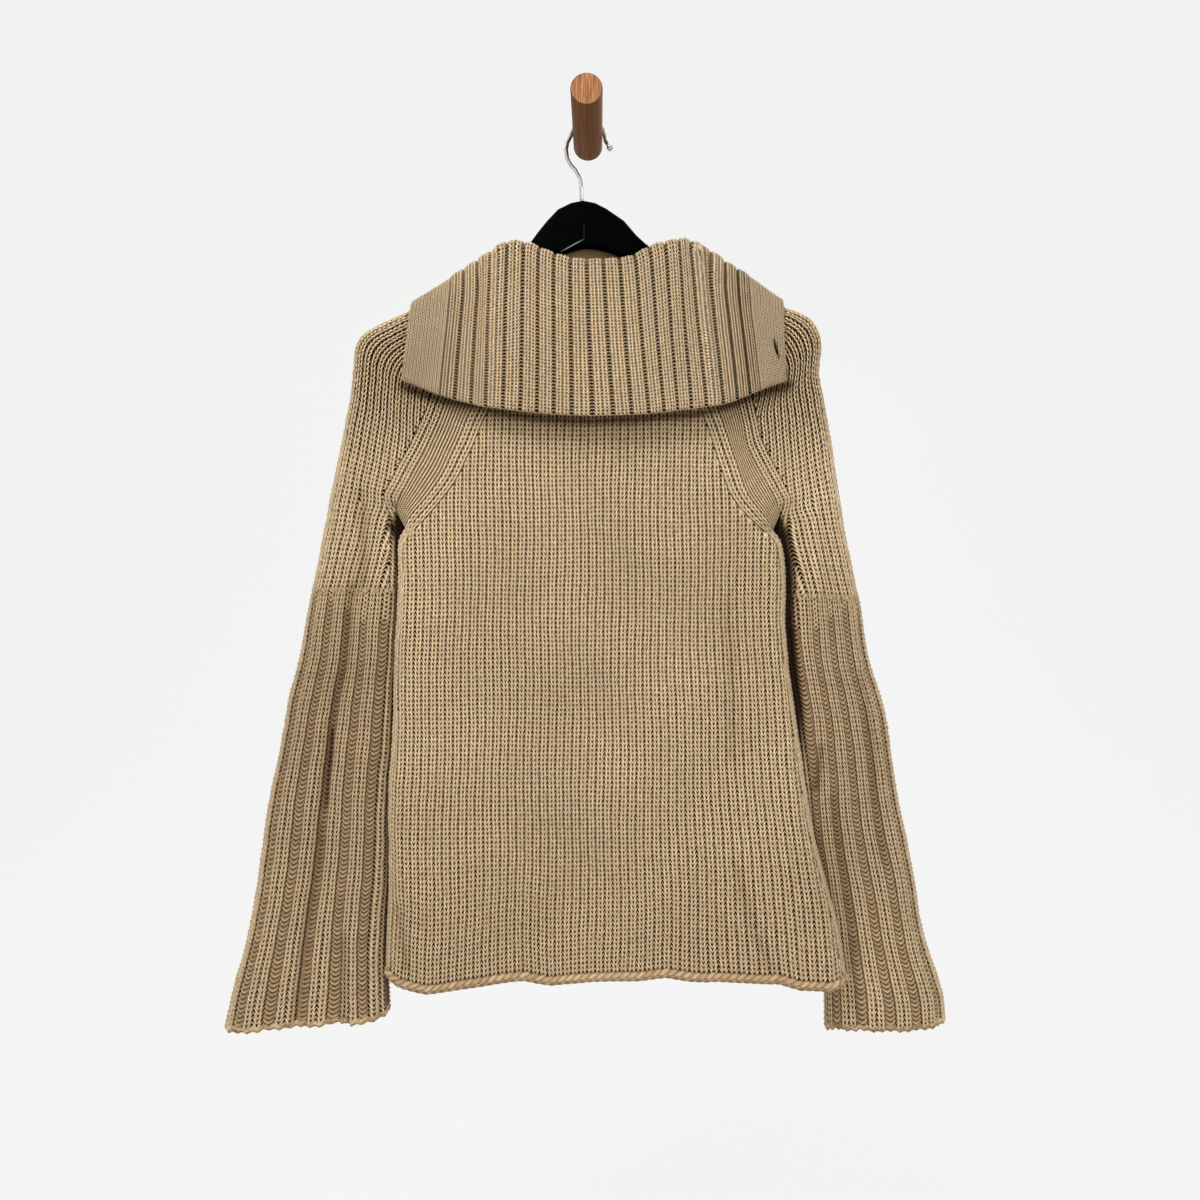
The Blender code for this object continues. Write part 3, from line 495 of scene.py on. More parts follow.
def depth_of(points, piece, face):
    """How far the level cloth lies from the silhouette's plane."""
    level = read_depth(BODY_DEPTH if piece in ("front", "back") else SLEEVE_DEPTH, points[:, 1], face)
    if piece == "right":
        flat = smooth(-points[:, 1], 540, 760) * (1 - smooth(points[:, 0], 235, 290))
        level = level + (8.5 - level) * flat
    return level


def overlap_shift(points, piece):
    """The body's lower right edge hangs forward of the right sleeve, which lies back behind it."""
    low = smooth(-points[:, 1], 540, 760)
    if piece in ("front", "back"):
        return -12.0 * low * smooth(points[:, 0], 120, 215)
    if piece == "right":
        return 10.0 * low * (1 - smooth(points[:, 0], 235, 300))
    return np.zeros(len(points))


def fold_height(points, piece):
    """Each fold is a bell across its line and fades out at the line's ends."""
    height = np.zeros(len(points))
    for x0, z0, x1, z1, half, rise in FOLDS.get(piece, ()):
        start, span = np.array([x0, z0], float), np.array([x1 - x0, z1 - z0], float)
        length = np.linalg.norm(span)
        share = (points - start) @ span / length**2
        across = (points - start) @ np.array([-span[1], span[0]]) / length
        ends = np.where(z1 < -815, smooth(share, 0, 0.4), np.sin(np.pi * np.clip(share, 0, 1)))
        height += rise * np.exp(-((across / half) ** 2)) * ends
    return height


def creases(points, piece, face):
    """Sum of the creases' bells at each point: how deep, and how much painted shade darkens it."""
    deep, dark = np.zeros(len(points)), np.zeros(len(points))
    for line, half, depth, shade in CREASES.get(piece, ()) if face == NEAR else ():
        gap = nearest(points, finer(line, 6))[0]
        deep += depth * np.exp(-((gap / half) ** 2))
        dark += shade * np.exp(-((gap / (0.75 * half)) ** 2))
    return deep, dark


def cleft(points, side):
    """Distance from the slit beside the body, how far the cloth is tucked there, and the width of
    the painted shade there."""
    heights, tucks, widths = np.array(CLEFT[side], float).T
    gap = nearest(points, SILHOUETTES[side]["sleeve"][0])[0]
    return gap, np.interp(points[:, 1], heights, tucks), np.interp(points[:, 1], heights, widths)


def shade(grid, piece, face):
    """How light the cloth is at (x, z) points, as painted shade: less in creases and in the clefts,
    and a little less towards the hem; each sleeve is also darker round its middle."""
    points = grid.reshape(-1, 2)
    shade_and_tone = np.maximum(1 - creases(points, piece, face)[1], 0.05)
    # painted shade, a little darker towards the hem, except on the right sleeve
    shade_and_tone = shade_and_tone * (1 - (0.0 if piece == "right" else 0.10) * smooth(-points[:, 1], 560, 800))
    if piece in CLEFT:
        gap, _, width = cleft(points, piece)
        width = width if face == NEAR else 0.5 * width
        # painted shade, nearly black, in the cleft beside the body
        dark = np.clip(2 * width, 0, 1) * (1 - smooth(gap, width - 0.5, width + 2.5))
        shade_and_tone = shade_and_tone * (1 - 0.97 * dark)
        # the sleeves are painted darker round their middle
        middle = 0.18 if piece == "left" else 0.09
        shade_and_tone = shade_and_tone * (1 - middle * np.exp(-(((points[:, 1] + 570) / 130) ** 2)))
    return shade_and_tone.reshape(grid.shape[:-1])


def surface(grid, piece, face):
    """The cloth over (x, z) points, and its outward normals. From the nearest silhouette the depth
    rises as a quarter ellipse, ROUNDING wide, and stays level further in. piece is front or back for
    the body, left or right for a sleeve, or both for all of them at the shoulders."""
    shape = grid.shape[:-1]
    points = grid.reshape(-1, 2)
    lines = {"left": ("sleeve",), "right": ("sleeve",), "front": ("body",), "back": ("body",)}
    gap, away = np.full(len(points), 1e9), np.zeros((len(points), 2))
    for side in (piece,) if piece in CLEFT else CLEFT:
        for line in (*lines.get(piece, ("sleeve", "body")), "outside"):
            line, hand = SILHOUETTES[side][line]
            this, foot, course = nearest(points, line)
            inward = hand * np.stack([-course[:, 1], course[:, 0]], axis=1)
            off = points - foot
            outside = ((off * inward).sum(axis=1) < 0) & (this < 3)
            closer = this < gap
            this = np.where(outside, 0.0, this)
            off = np.where(outside[:, None], inward, off + 0.3 * inward)
            gap, away = np.where(closer, this, gap), np.where(closer[:, None], off, away)
    away /= np.maximum(np.linalg.norm(away, axis=1)[:, None], 1e-9)
    level = depth_of(points, piece, face)
    left = 1 - np.clip(gap / ROUNDING, 0, 1)
    rise = np.sqrt(np.maximum(1 - left**2, 0))
    normal = np.zeros((len(points), 3))
    normal[:, [0, 2]] = -away * (left / ROUNDING)[:, None]
    normal[:, 1] = face * rise / level
    normal /= np.linalg.norm(normal, axis=1)[:, None]
    outer = np.empty((len(points), 3))
    outer[:, [0, 2]] = points
    outer[:, 1] = SILHOUETTE_Y + overlap_shift(points, piece) + face * (level * rise)
    folds = fold_height(points, piece) if face == NEAR or piece == "back" else 0.0
    outer += normal * ((folds - creases(points, piece, face)[0]) * rise)[:, None]
    if piece in CLEFT:
        gap, tuck, _ = cleft(points, piece)
        tuck = tuck * (1 - smooth(gap, 0, 12 if face == NEAR else ROUNDING))
        outer[:, 0] += tuck if piece == "left" else -tuck
        outer[:, 1] += tuck
    return outer.reshape(*shape, 3), normal.reshape(*shape, 3)


def turned_in(run, size):
    """Distance in from a silhouette at a run of cloth from it: the cloth's first `size` millimetres
    go round the quarter ellipse, and the rest lies level."""
    share = np.clip(run / size, 0, 1)
    return ROUNDING * (1 - np.cos(np.pi / 2 * share)) + np.maximum(run - size, 0)


def edge_cloth(deep):
    """How much cloth goes round one rounded edge: a quarter of an ellipse, `deep` by ROUNDING."""
    return np.pi / 2 * np.sqrt((ROUNDING**2 + deep**2) / 2)


def turned_twice(run, cloth, width, size):
    """As turned_in, for cloth that goes round a silhouette at both of its ends."""
    return np.where(run < cloth / 2, turned_in(run, size), width - turned_in(cloth - run, size))


def leg(column):
    """0 in the middle of a knitted column and 1 at its two edges."""
    return np.abs(column - np.floor(column) - 0.5) * 2


CLIMB = 1.5  # rows that each leg of a stitch climbs, from its column's middle to its edge


def stitch_height(across, row):
    """Height of plain knit up to 1. Each leg is a long bump, sin across it and along it, and the
    cloth dips below 0 where four stitches meet, most of all between two columns."""
    long = np.sin(np.pi * np.clip(across, 0, 1)) ** 0.7
    wide = np.abs(np.sin(np.pi * row)) ** 0.8
    long = long + (1 - long) * 0.35 * wide
    return 0.15 * wide + 0.85 * long * (0.25 + 0.75 * wide) - (1 - wide) * smooth(across, 0.4, 1) * 0.6


def uneven(column, row):
    """A different number for every leg of every stitch, 0.8 to 1.15: no two are pulled alike."""
    many = np.sin(np.floor(2 * column) * 12.9898 + np.floor(row) * 78.233) * 43758.5453
    return 0.8 + 0.35 * (many - np.floor(many))


def half_rows(first, beyond):
    """Rows of points, two to a row of stitches, so many that their steps divide by four."""
    row = np.arange(first, beyond, 0.5)
    return row[: (len(row) - 1) // 4 * 4 + 1]


def paired(pairs, row):
    """Stitches of columns of faces: each has its left and right side's place in a stitch."""
    left, right = (np.broadcast_to(pairs[:, k], (len(row), len(pairs))) for k in (0, 1))
    rows = np.broadcast_to(row[:, None], left.shape)
    return np.stack([left, rows, right, rows], axis=-1)


def drift(points):
    """How far the columns and rows wander in the cloth: long and short sines of each other."""
    x, z = points[:, 0], points[:, 2]
    over = 0.8 * np.sin(z / 24 + 1.3 * np.sin(x / 31)) + 0.16 * np.sin(z / 7.1 + x / 9)
    up = 0.6 * np.sin(x / 23 + 1.1 * np.sin(z / 37)) + 0.2 * np.sin(x / 7.7 - z / 12)
    return np.stack([over, np.zeros(len(points)), up], axis=1)


def rim(fine, coarse):
    """Triangles between a line of points and one with fewer, whose steps divide its own."""
    times = (len(fine) - 1) // (len(coarse) - 1)
    f = np.arange(len(fine) - 1)
    k = f // times
    first = np.stack([fine[f + 1], fine[f], coarse[k + (f % times >= times // 2)]], axis=1)
    c = np.arange(len(coarse) - 1)
    second = np.stack([coarse[c], coarse[c + 1], fine[c * times + times // 2]], axis=1)
    return np.concatenate([first, second])


def halves(grid):
    """Two triangles for each face of a grid of point numbers."""
    a, b, c, d = grid[:-1, :-1], grid[:-1, 1:], grid[1:, 1:], grid[1:, :-1]
    pairs = np.stack([np.stack([a, b, c], axis=-1), np.stack([a, c, d], axis=-1)], axis=2)
    return pairs.reshape(-1, 3)


def knitted(name, patches, finish, wander=1.0):
    """One welded, closed mesh. A patch is an outer grid of points, an inner grid whose steps divide
    it (none for a tube), and the outer grid's columns and rows of stitches: (rows, columns, 2) for
    its points, or (rows, columns - 1, 4) for the two sides of each face column; then how light it is,
    mostly painted shade."""
    points, triangles, corners, tones = [], [], [], []
    count = 0
    for outer, inner, stitches, shade_and_tone in patches:
        rows, columns = outer.shape[:2]
        out = count + np.arange(rows * columns).reshape(rows, columns)
        count += rows * columns
        points.append(outer.reshape(-1, 3))
        tones.append(np.broadcast_to(shade_and_tone, (rows, columns)).ravel())
        if stitches.shape[2] == 2:
            left, right = stitches[:, :-1], stitches[:, 1:]
        else:
            left, right = stitches[:, :, :2], stitches[:, :, 2:]
        a, b, c, d = left[:-1], right[:-1], right[1:], left[1:]
        outer_uv = np.stack([np.stack([a, b, c], axis=-2), np.stack([a, c, d], axis=-2)], axis=2)
        triangles.append(halves(out))
        corners.append(outer_uv.reshape(-1, 3, 2))
        if inner is None:
            continue
        inside = count + np.arange(inner[..., 0].size).reshape(inner.shape[:2])
        count += inside.size
        points.append(inner.reshape(-1, 3))
        # the inner face is painted darker, as shade
        tones.append(np.full(inside.size, 0.45))
        edges = [rim(out[0], inside[0]), rim(out[-1][::-1], inside[-1][::-1])]
        edges += [rim(out[::-1, 0], inside[::-1, 0]), rim(out[:, -1], inside[:, -1])]
        triangles.append(np.concatenate([halves(inside)[:, ::-1]] + edges))
        corners.append(np.full((len(triangles[-1]), 3, 2), 0.25))
    points, triangles = np.concatenate(points), np.concatenate(triangles)
    points = points + wander * drift(points)
    corners, tones = np.concatenate(corners), np.concatenate(tones)
    _, first, same = np.unique(np.round(points, 3), axis=0, return_index=True, return_inverse=True)
    triangles = same.reshape(-1)[triangles]
    a, b, c = triangles.T
    keep = (a != b) & (b != c) & (c != a)
    triangles, corners, points, tones = triangles[keep], corners[keep], points[first], tones[first]
    a, b, c = (points[triangles[:, k]] for k in range(3))
    if (a * np.cross(b, c)).sum() < 0:
        triangles, corners = triangles[:, ::-1], corners[:, ::-1]
    mesh = bpy.data.meshes.new(name)
    mesh.vertices.add(len(points))
    mesh.vertices.foreach_set("co", (points * 0.001).astype(np.float32).ravel())
    mesh.loops.add(triangles.size)
    mesh.loops.foreach_set("vertex_index", triangles.astype(np.int32).ravel())
    mesh.polygons.add(len(triangles))
    mesh.polygons.foreach_set("loop_start", np.arange(0, triangles.size, 3, dtype=np.int32))
    mesh.polygons.foreach_set("loop_total", np.full(len(triangles), 3, dtype=np.int32))
    uv = mesh.uv_layers.new(name="stitches")
    uv.data.foreach_set("uv", corners.astype(np.float32).ravel())
    made_tone = mesh.attributes.new("shade_and_tone", "FLOAT", "POINT")
    made_tone.data.foreach_set("value", tones.astype(np.float32))
    mesh.update(calc_edges=True)
    mesh.shade_smooth()
    mesh.materials.append(finish)
    made = bpy.data.objects.new(name, mesh)
    bpy.context.scene.collection.objects.link(made)
    return made


def wool(name, gap, shadow, light, depth=1.0, line=0.30):
    """Marled wool. The stitches map gives columns and slanted rows. Painted shade darkens a hole
    between two columns at every row, a smaller one in the middle of a column, and a thin line that
    parts each leg from the next; every leg has its own lightness, and a speckle of pale and dark
    fibres covers all. High on the shoulders the stitches are pulled open, and the painted shade of
    their holes is darker. depth scales the holes' painted shade, and line is how dark the thin
    painted line is."""
    made, shader, place = finish_of(name, 0.93)
    tree = shader.id_data
    feed(shader, {"Specular IOR Level": 0.12, "Sheen Weight": 0.12, "Sheen Roughness": 0.5,
                  "Sheen Tint": (1.0, 0.93, 0.82, 1.0)})
    stitch = Wire(node(tree, "ShaderNodeUVMap", {}, uv_map="stitches"))
    wobble = noise(place, 330.0, 1.0) - 0.5
    column, row, _ = axes(stitch)
    column, row = column + wobble * 0.12, row + wobble * 0.35
    # painted shade: the holes and the thin lines between legs darken the colour
    edge = abs(column.maths("FRACT") - 0.5)
    meet = (row * (2 * math.pi)).maths("COSINE") * 0.5 + 0.5
    hole = meet ** (1.3 if line > 0.2 else 1.7)
    between = soft_step(edge, 0.24, 0.46) * (hole * 1.25 + line)
    inside = soft_step(edge, 0.21, 0.02) * (hole * 0.80 + 0.8 * line)
    legs = stretched(stitch, (2.0, 1.0, 1.0))
    number = Wire(node(tree, "ShaderNodeVectorMath", {0: legs}, operation="FLOOR"))
    each = node(tree, "ShaderNodeTexWhiteNoise", {"Vector": number}, noise_dimensions="2D")
    each = Wire(each, "Value")
    x, _, z = axes(place)
    pulled = soft_step(z, -0.34, -0.22) * soft_step(abs(x), 0.11, 0.16)
    deep = between.maths("MAXIMUM", inside) + meet**4.0 * 0.20
    deep = deep * (each * 0.5 + 0.75 * depth) * (pulled * 1.2 + 1.0)
    cloth = ramp(deep, ((0.0, light), (0.28, tuple(0.80 * c for c in light)), (0.62, shadow),
                        (0.95, gap)))
    shade_and_tone = Wire(node(tree, "ShaderNodeAttribute", {}, attribute_name="shade_and_tone"), "Fac")
    shade_and_tone = shade_and_tone * (each * 0.26 + 0.87)
    # the mesh's painted shade, times each leg's own lightness, darkens the wool, and darker wool is
    # also browner
    brown = node(tree, "ShaderNodeCombineXYZ", {0: shade_and_tone**1.0, 1: shade_and_tone**1.14, 2: shade_and_tone**1.28})
    cloth = blend(1.0, cloth, Wire(brown), "MULTIPLY")
    plies = noise(stretched(stitch, (2.2, 5.5, 1.0), (0.0, 0.0, 0.25)), 1.0, 2.0, 0.6)
    fibres = noise(place, 1500.0, 2.0, 0.7)
    speck = ramp(plies * 0.55 + fibres * 0.75, ((0.38, (0.50, 0.48, 0.44)), (0.62, (0.98, 0.98, 0.98)),
                                                (0.86, (1.5, 1.5, 1.47))))
    cloth = blend(1.0, cloth, speck, "MULTIPLY")
    patch = ramp(noise(place, 9.0), ((0.3, (0.90, 0.895, 0.88)), (0.7, (1.06, 1.06, 1.06))))
    feed(shader, {"Base Color": blend(1.0, cloth, patch, "MULTIPLY")})
    bump(shader, plies * 0.6 + fibres * 0.5, 0.0009, 0.8)
    return made
body_wool = wool("oatmeal_wool", (0.006, 0.003, 0.001), (0.18, 0.108, 0.044), (0.83, 0.63, 0.39))

COLUMN, ROW = 7.45, 4.35  # size of a stitch of plain knit
RELIEF = 1.9  # how far the legs of a stitch stand out
KNIT_WALL = 4.0
EDGE_BAND = 2  # columns that follow a seam, beside which the others are cut off


def hem_height(x):
    """Height of the rolled hem's middle line."""
    return np.interp(x, *np.array(HEM_LINE, float).T)


def hem_edge(x):
    """The panels' lower edge, which clears the roll also where the roll's line slopes."""
    slope = (hem_height(x + 4) - hem_height(x - 4)) / 8
    return hem_height(x) + (HEM_RADIUS + 0.4) * np.hypot(1, slope) + 0.3


def neckline(x, face):
    """The panel's upper edge, a half sine between its two ends."""
    left, height, width, rise = NECKLINE[face]
    share = np.clip((x - left) / width, 0, 1)
    return height + rise * share + NECK_DIP[face] * np.sin(np.pi * share)


def sub_columns(count):
    """Columns of points, four to a column of stitches."""
    return np.linspace(0, count, count * 4 + 1)


def body_panel(name, piece, face, middle, reach, top):
    """A grid of stitches: `reach` columns to each side of x = middle stand upright and are cut off
    beside the edge bands, whose columns follow the seams; rows count up from the hem to top."""
    sides = {}
    for side, sign, number in (("left", 1.0, 1), ("right", -1.0, 2)):
        low = finer([UNDERARM[side]] + [(row[number], row[0]) for row in BODY_SIDES], 8)
        sides[sign] = np.concatenate([low[::-1], finer(RAGLAN_BODY[side, face], 8)[1:]])
    band, field = sub_columns(EDGE_BAND), sub_columns(reach[0] + reach[1]) - reach[0]
    column = np.concatenate([band - reach[0] - EDGE_BAND, field[1:-1], band + reach[1]])
    rows = half_rows(-CLIMB, top + 0.1)
    is_left = np.arange(len(column)) < len(band)
    is_right = np.arange(len(column)) >= len(column) - len(band)
    climb = CLIMB * leg(column)
    cut = np.zeros((len(rows), len(column)), bool)
    for known in (False, True):  # the second time with cut-off points set on the bands' rows
        level = np.clip(rows[:, None] + np.where(cut, CLIMB, climb), 0, None)
        pitch = COLUMN * (1 + 0.03 * smooth(-level, -90, 0))
        height = HEM_LEVEL + level * ROW
        flare = np.interp(height, sides[-1.0][:, 1], sides[-1.0][:, 0]) - 190
        flare = np.clip(flare, 0, None) * smooth(-height, 395, 430)
        flat = middle + column * pitch + 0.5 * flare * smooth(column, 4, 30)
        rough_x = np.clip(flat, -190, 244)
        height = height + (hem_edge(rough_x) - HEM_LEVEL) * (1 - smooth(level * ROW, 0, 150))
        height = np.minimum(height, neckline(rough_x, face))
        below = smooth(-height, 372, 400)
        size = edge_cloth(read_depth(BODY_DEPTH, height, face))
        spread = 1 + 0.13 * (1 - below)  # the seam slants, so its band is wider along a row
        x = np.empty_like(height)
        found = np.zeros_like(cut)
        for sign, is_band in ((1.0, is_left), (-1.0, is_right)):
            edge = np.interp(height, sides[sign][:, 1], sides[sign][:, 0])
            run = sign * (flat - edge) + (size - ROUNDING) * below
            within = np.abs(column - (column[0] if sign > 0 else column[-1]))
            least = EDGE_BAND * COLUMN * spread
            this_half = (flat - middle) * sign <= 0
            beyond = ~is_band & this_half & (cut if known else run < least)
            run = np.where(is_band, within * COLUMN * spread, np.maximum(run, least))
            run = np.where(beyond, least, run)
            here = edge + sign * (below * turned_in(run, size) + (1 - below) * run)
            x = np.where(is_band | this_half, here, x)
            found |= beyond
        cut = found
    grid = np.stack([x, height], axis=-1)
    base, normals = surface(grid, piece, face)
    base[..., 1] += face * 0.2
    true_column = np.where(cut, 0.0, column)
    true_row = level - np.where(cut, CLIMB, climb)
    tall = stitch_height(leg(true_column), true_row)
    tall = np.where(cut, 0.1, tall * uneven(true_column, true_row))
    outer = base + normals * (RELIEF * (tall - 0.55))[..., None]
    inner = (base - normals * KNIT_WALL)[::4, ::4]
    inner[0, :, 2] += 1.2
    stitches = np.stack([np.where(cut, np.round(column), column), true_row], axis=-1)
    return knitted(name, [(outer, inner, stitches, shade(grid, piece, face))], body_wool)


front = body_panel("front_knit", "front", NEAR, middle=8.0, reach=(27, 31), top=150.5)
back = body_panel("back_knit", "back", FAR, middle=8.0, reach=(27, 31), top=162.5)
for piece, replaced in ((front, "front_panel"), (back, "back_panel")):
    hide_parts(replaced)
    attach(piece, "root")

# ------------------------------------------------------------------ raglan bands
# Four narrow bands of fine rib that join the sleeves to the body, from the underarm to the neck.
# They are knitted in a thinner yarn than the panels and sewn in.

RAGLAN_SLEEVE = {
    ("left", NEAR): ((-183.5, -364), (-167, -331), (-149, -294), (-135, -261), (-88, -150)),
    ("right", NEAR): ((185, -369), (169, -337), (152.5, -303), (143.5, -264), (104, -148)),
    ("left", FAR): ((-183.5, -364), (-150, -294), (-84, -119)),
    ("right", FAR): ((185, -369), (153, -300), (101, -119)),
}
BAND_RIBS, BAND_ROWS = 8, 100


def seam_line(side, face, table, shares):
    """A raglan seam as a smooth line, read at shares of its length."""
    return along(finer(table[side, face], 8), shares)


def raglan_band(side, face):
    """Rows run up the band, columns across it; each rib is a round ridge of fine stitches with a
    deep groove at its two sides."""
    column = sub_columns(BAND_RIBS)
    row = half_rows(-0.5, BAND_ROWS + 0.6)
    shares = np.clip(row[:, None] + 0.5 * leg(column), 0, BAND_ROWS) / BAND_ROWS
    a = seam_line(side, face, RAGLAN_SLEEVE, shares)
    b = seam_line(side, face, RAGLAN_BODY, shares)
    grid = a + (b - a) * (column / BAND_RIBS)[:, None]
    panel = "front" if face == NEAR else "back"
    base, normals = surface(grid, panel, face)
    round_rib = 1 - leg(column) ** 2
    wide = np.abs(np.sin(np.pi * row[:, None]))
    tall = 1.9 * round_rib - 1.3 + 0.3 * wide * round_rib
    tall[:, [0, -1]] = -0.6
    outer = base + normals * tall[..., None]
    inner = (base - normals * KNIT_WALL)[::4, ::4]
    pairs = np.tile(np.array([(0.0, 0.19), (0.19, 0.25), (0.25, 0.19), (0.19, 0.0)]), (BAND_RIBS, 1))
    # painted shade in the grooves beside each rib and between the rows
    shade_and_tone = (0.56 + 0.44 * round_rib) * (0.84 + 0.16 * wide) * shade(grid, panel, face)
    patch = (outer, inner, paired(pairs, row), shade_and_tone)
    return knitted(f"raglan_band_{panel}_{side}", [patch], body_wool)


for side in ("left", "right"):
    for face, word in ((NEAR, "front"), (FAR, "back")):
        band = raglan_band(side, face)
        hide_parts(f"raglan_{word}_{side}")
        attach(band, "root")

# ------------------------------------------------------------------ sleeves
# Each sleeve is knitted from the cuff up: twelve broad ribs, two plain columns and a purl ladder
# each, that taper from the flare to the elbow, then plain knit over the shoulder to the neck.

SLEEVE_RIBS = 12
SLEEVE_ROW = 4.4
PURL = 0.175  # half of the ladder's share of a rib
RIB_GROOVE = 2.3
RIB_ROWS = 94  # rows of rib above the cuff


def sleeve_stations(side, face):
    """Inner and outer ends of the rows that the shape is given at, from the cuff to the neck."""
    low = np.array(SLEEVE_LOW[side], float)
    shares = [row[0] for row in SHOULDER[side]]
    inner = np.concatenate([low[:, :2], seam_line(side, face, RAGLAN_SLEEVE, shares)])
    outer = np.concatenate([low[:, 2:], [row[1:] for row in SHOULDER[side]]])
    return inner, outer


def sleeve_places(side):
    """The station, counted from the cuff, of each row of stitches, by length along the sleeve."""
    inner, outer = sleeve_stations(side, NEAR)
    places = np.linspace(0, len(inner) - 1, (len(inner) - 1) * 16 + 1)
    line = read_line((inner * 0.45 + outer * 0.55), places)
    length = np.concatenate([[0], np.cumsum(np.linalg.norm(np.diff(line, axis=0), axis=1))])
    return places, length / SLEEVE_ROW


def sleeve_row(side, face, row):
    """For rows of stitches, any shape: both ends, the distance between them, how much cloth goes
    round one rounded edge, and 1 for a row below the underarm or 0 for one above it."""
    places, rows = sleeve_places(side)
    at = np.interp(row, rows, places)
    inner, outer = (read_line(line, at) for line in sleeve_stations(side, face))
    width = np.linalg.norm(outer - inner, axis=-1)
    size = edge_cloth(read_depth(SLEEVE_DEPTH, (inner[..., 1] + outer[..., 1]) / 2, face))
    last = len(SLEEVE_LOW[side]) - 1  # the underarm's station
    return inner, outer, width, size, 1 - smooth(at, last - 0.4, last + 0.6)


def ribbed_part(side):
    """Points and stitches from the cuff up to the last row of rib. phase counts ribs from the
    sleeve's inner edge, out over the near side and back over the far side."""
    steps = np.array([0, 0.5, 1]) * PURL
    plain = np.linspace(PURL, 0.5, 5)
    phase = np.concatenate([steps, plain[1:], 1 - plain[::-1][1:], 1 - steps[::-1][1:]])
    across = np.array([0, 0.5, 1, 0.5, 0, 0.5, 1, 0.5, 0, 0.5, 1, 0.5, 0])
    ladder = np.array([1, 0.7, 0, 0, 0, 0, 0, 0, 0, 0, 0, 0.7, 1])
    pairs = [(k / 4, k / 4 + 0.25) for k in range(-2, 10)]
    column_pairs = np.tile(np.array(pairs), (SLEEVE_RIBS, 1))
    turns = np.arange(SLEEVE_RIBS)[:, None]
    phase = np.append((turns + phase[:-1]).ravel(), float(SLEEVE_RIBS))
    across = np.append(np.tile(across[:-1], SLEEVE_RIBS), across[-1])
    ladder = np.append(np.tile(ladder[:-1], SLEEVE_RIBS), ladder[-1])
    climb = np.where(ladder > 0, CLIMB - 0.9 * ladder, CLIMB * across)
    row = half_rows(-CLIMB, RIB_ROWS + 1.1)
    level = np.clip(row[:, None] + climb, 0, RIB_ROWS + 0.8)
    near = phase <= SLEEVE_RIBS / 2
    share = np.where(near, phase, SLEEVE_RIBS - phase) / (SLEEVE_RIBS / 2)
    base, normals = np.empty((*level.shape, 3)), np.empty((*level.shape, 3))
    light = np.empty(level.shape)
    for face, mine in ((NEAR, near), (FAR, ~near)):
        inner, outer, width, size, _ = sleeve_row(side, face, level[:, mine])
        cloth = width + 2 * (size - ROUNDING)
        run = share[mine] * cloth
        inside = turned_twice(run, cloth, width, size)
        grid = inner + (outer - inner) * (inside / width)[..., None]
        base[:, mine], normals[:, mine] = surface(grid, side, face)
        light[:, mine] = shade(grid, side, face)
    wide = np.abs(np.sin(np.pi * row[:, None])) ** 0.8
    # the ladders begin at uneven heights and grow out of the plain knit
    begin = RIB_ROWS - 6 * (np.sin(np.round(phase) * 7.3) + 1) / 2
    grown = 1 - smooth(level, begin - 2, begin)
    bars = -0.25 + 1.05 * wide * (0.6 + 0.4 * ladder)
    plain_tall = stitch_height(across, row[:, None]) * uneven(phase * 4, row[:, None])
    tall = np.where(ladder > 0, bars * grown + plain_tall * (1 - grown), plain_tall)
    valley = np.clip(np.cos(2 * np.pi * phase), 0, 1)
    sink = RIB_GROOVE * valley * (0.35 + 0.65 * grown) * smooth(RIB_ROWS - level, 0, 6)
    sink = sink + 0.2 * smooth(level, RIB_ROWS - 0.2, RIB_ROWS + 0.4)
    outer = base + normals * (RELIEF * (tall - 0.5) - sink)[..., None]
    inner = (base - normals * KNIT_WALL)[::4, ::4]
    stitches = paired(column_pairs, row)
    barred = (ladder[:-1] + ladder[1:] > 0) & (grown[:, 1:] > 0.5)
    stitches[..., [0, 2]] = np.where(barred[..., None], 0.25, stitches[..., [0, 2]])
    # painted shade: nearly black between the ladders' bars, darker in the valleys and along the
    # ladders' borders; the last row of rib is a little darker
    shade_and_tone = np.where(ladder > 0, 1 - grown * (0.06 + 0.84 * (1 - wide)), 1.0) * (1 - 0.10 * valley)
    border = np.exp(-(((np.abs(phase - np.round(phase)) - PURL) / 0.03) ** 2))
    shade_and_tone = shade_and_tone * (1 - 0.5 * border * grown) * (1 - 0.10 * smooth(level, RIB_ROWS - 1.2, RIB_ROWS))
    return outer, inner, stitches, shade_and_tone * light


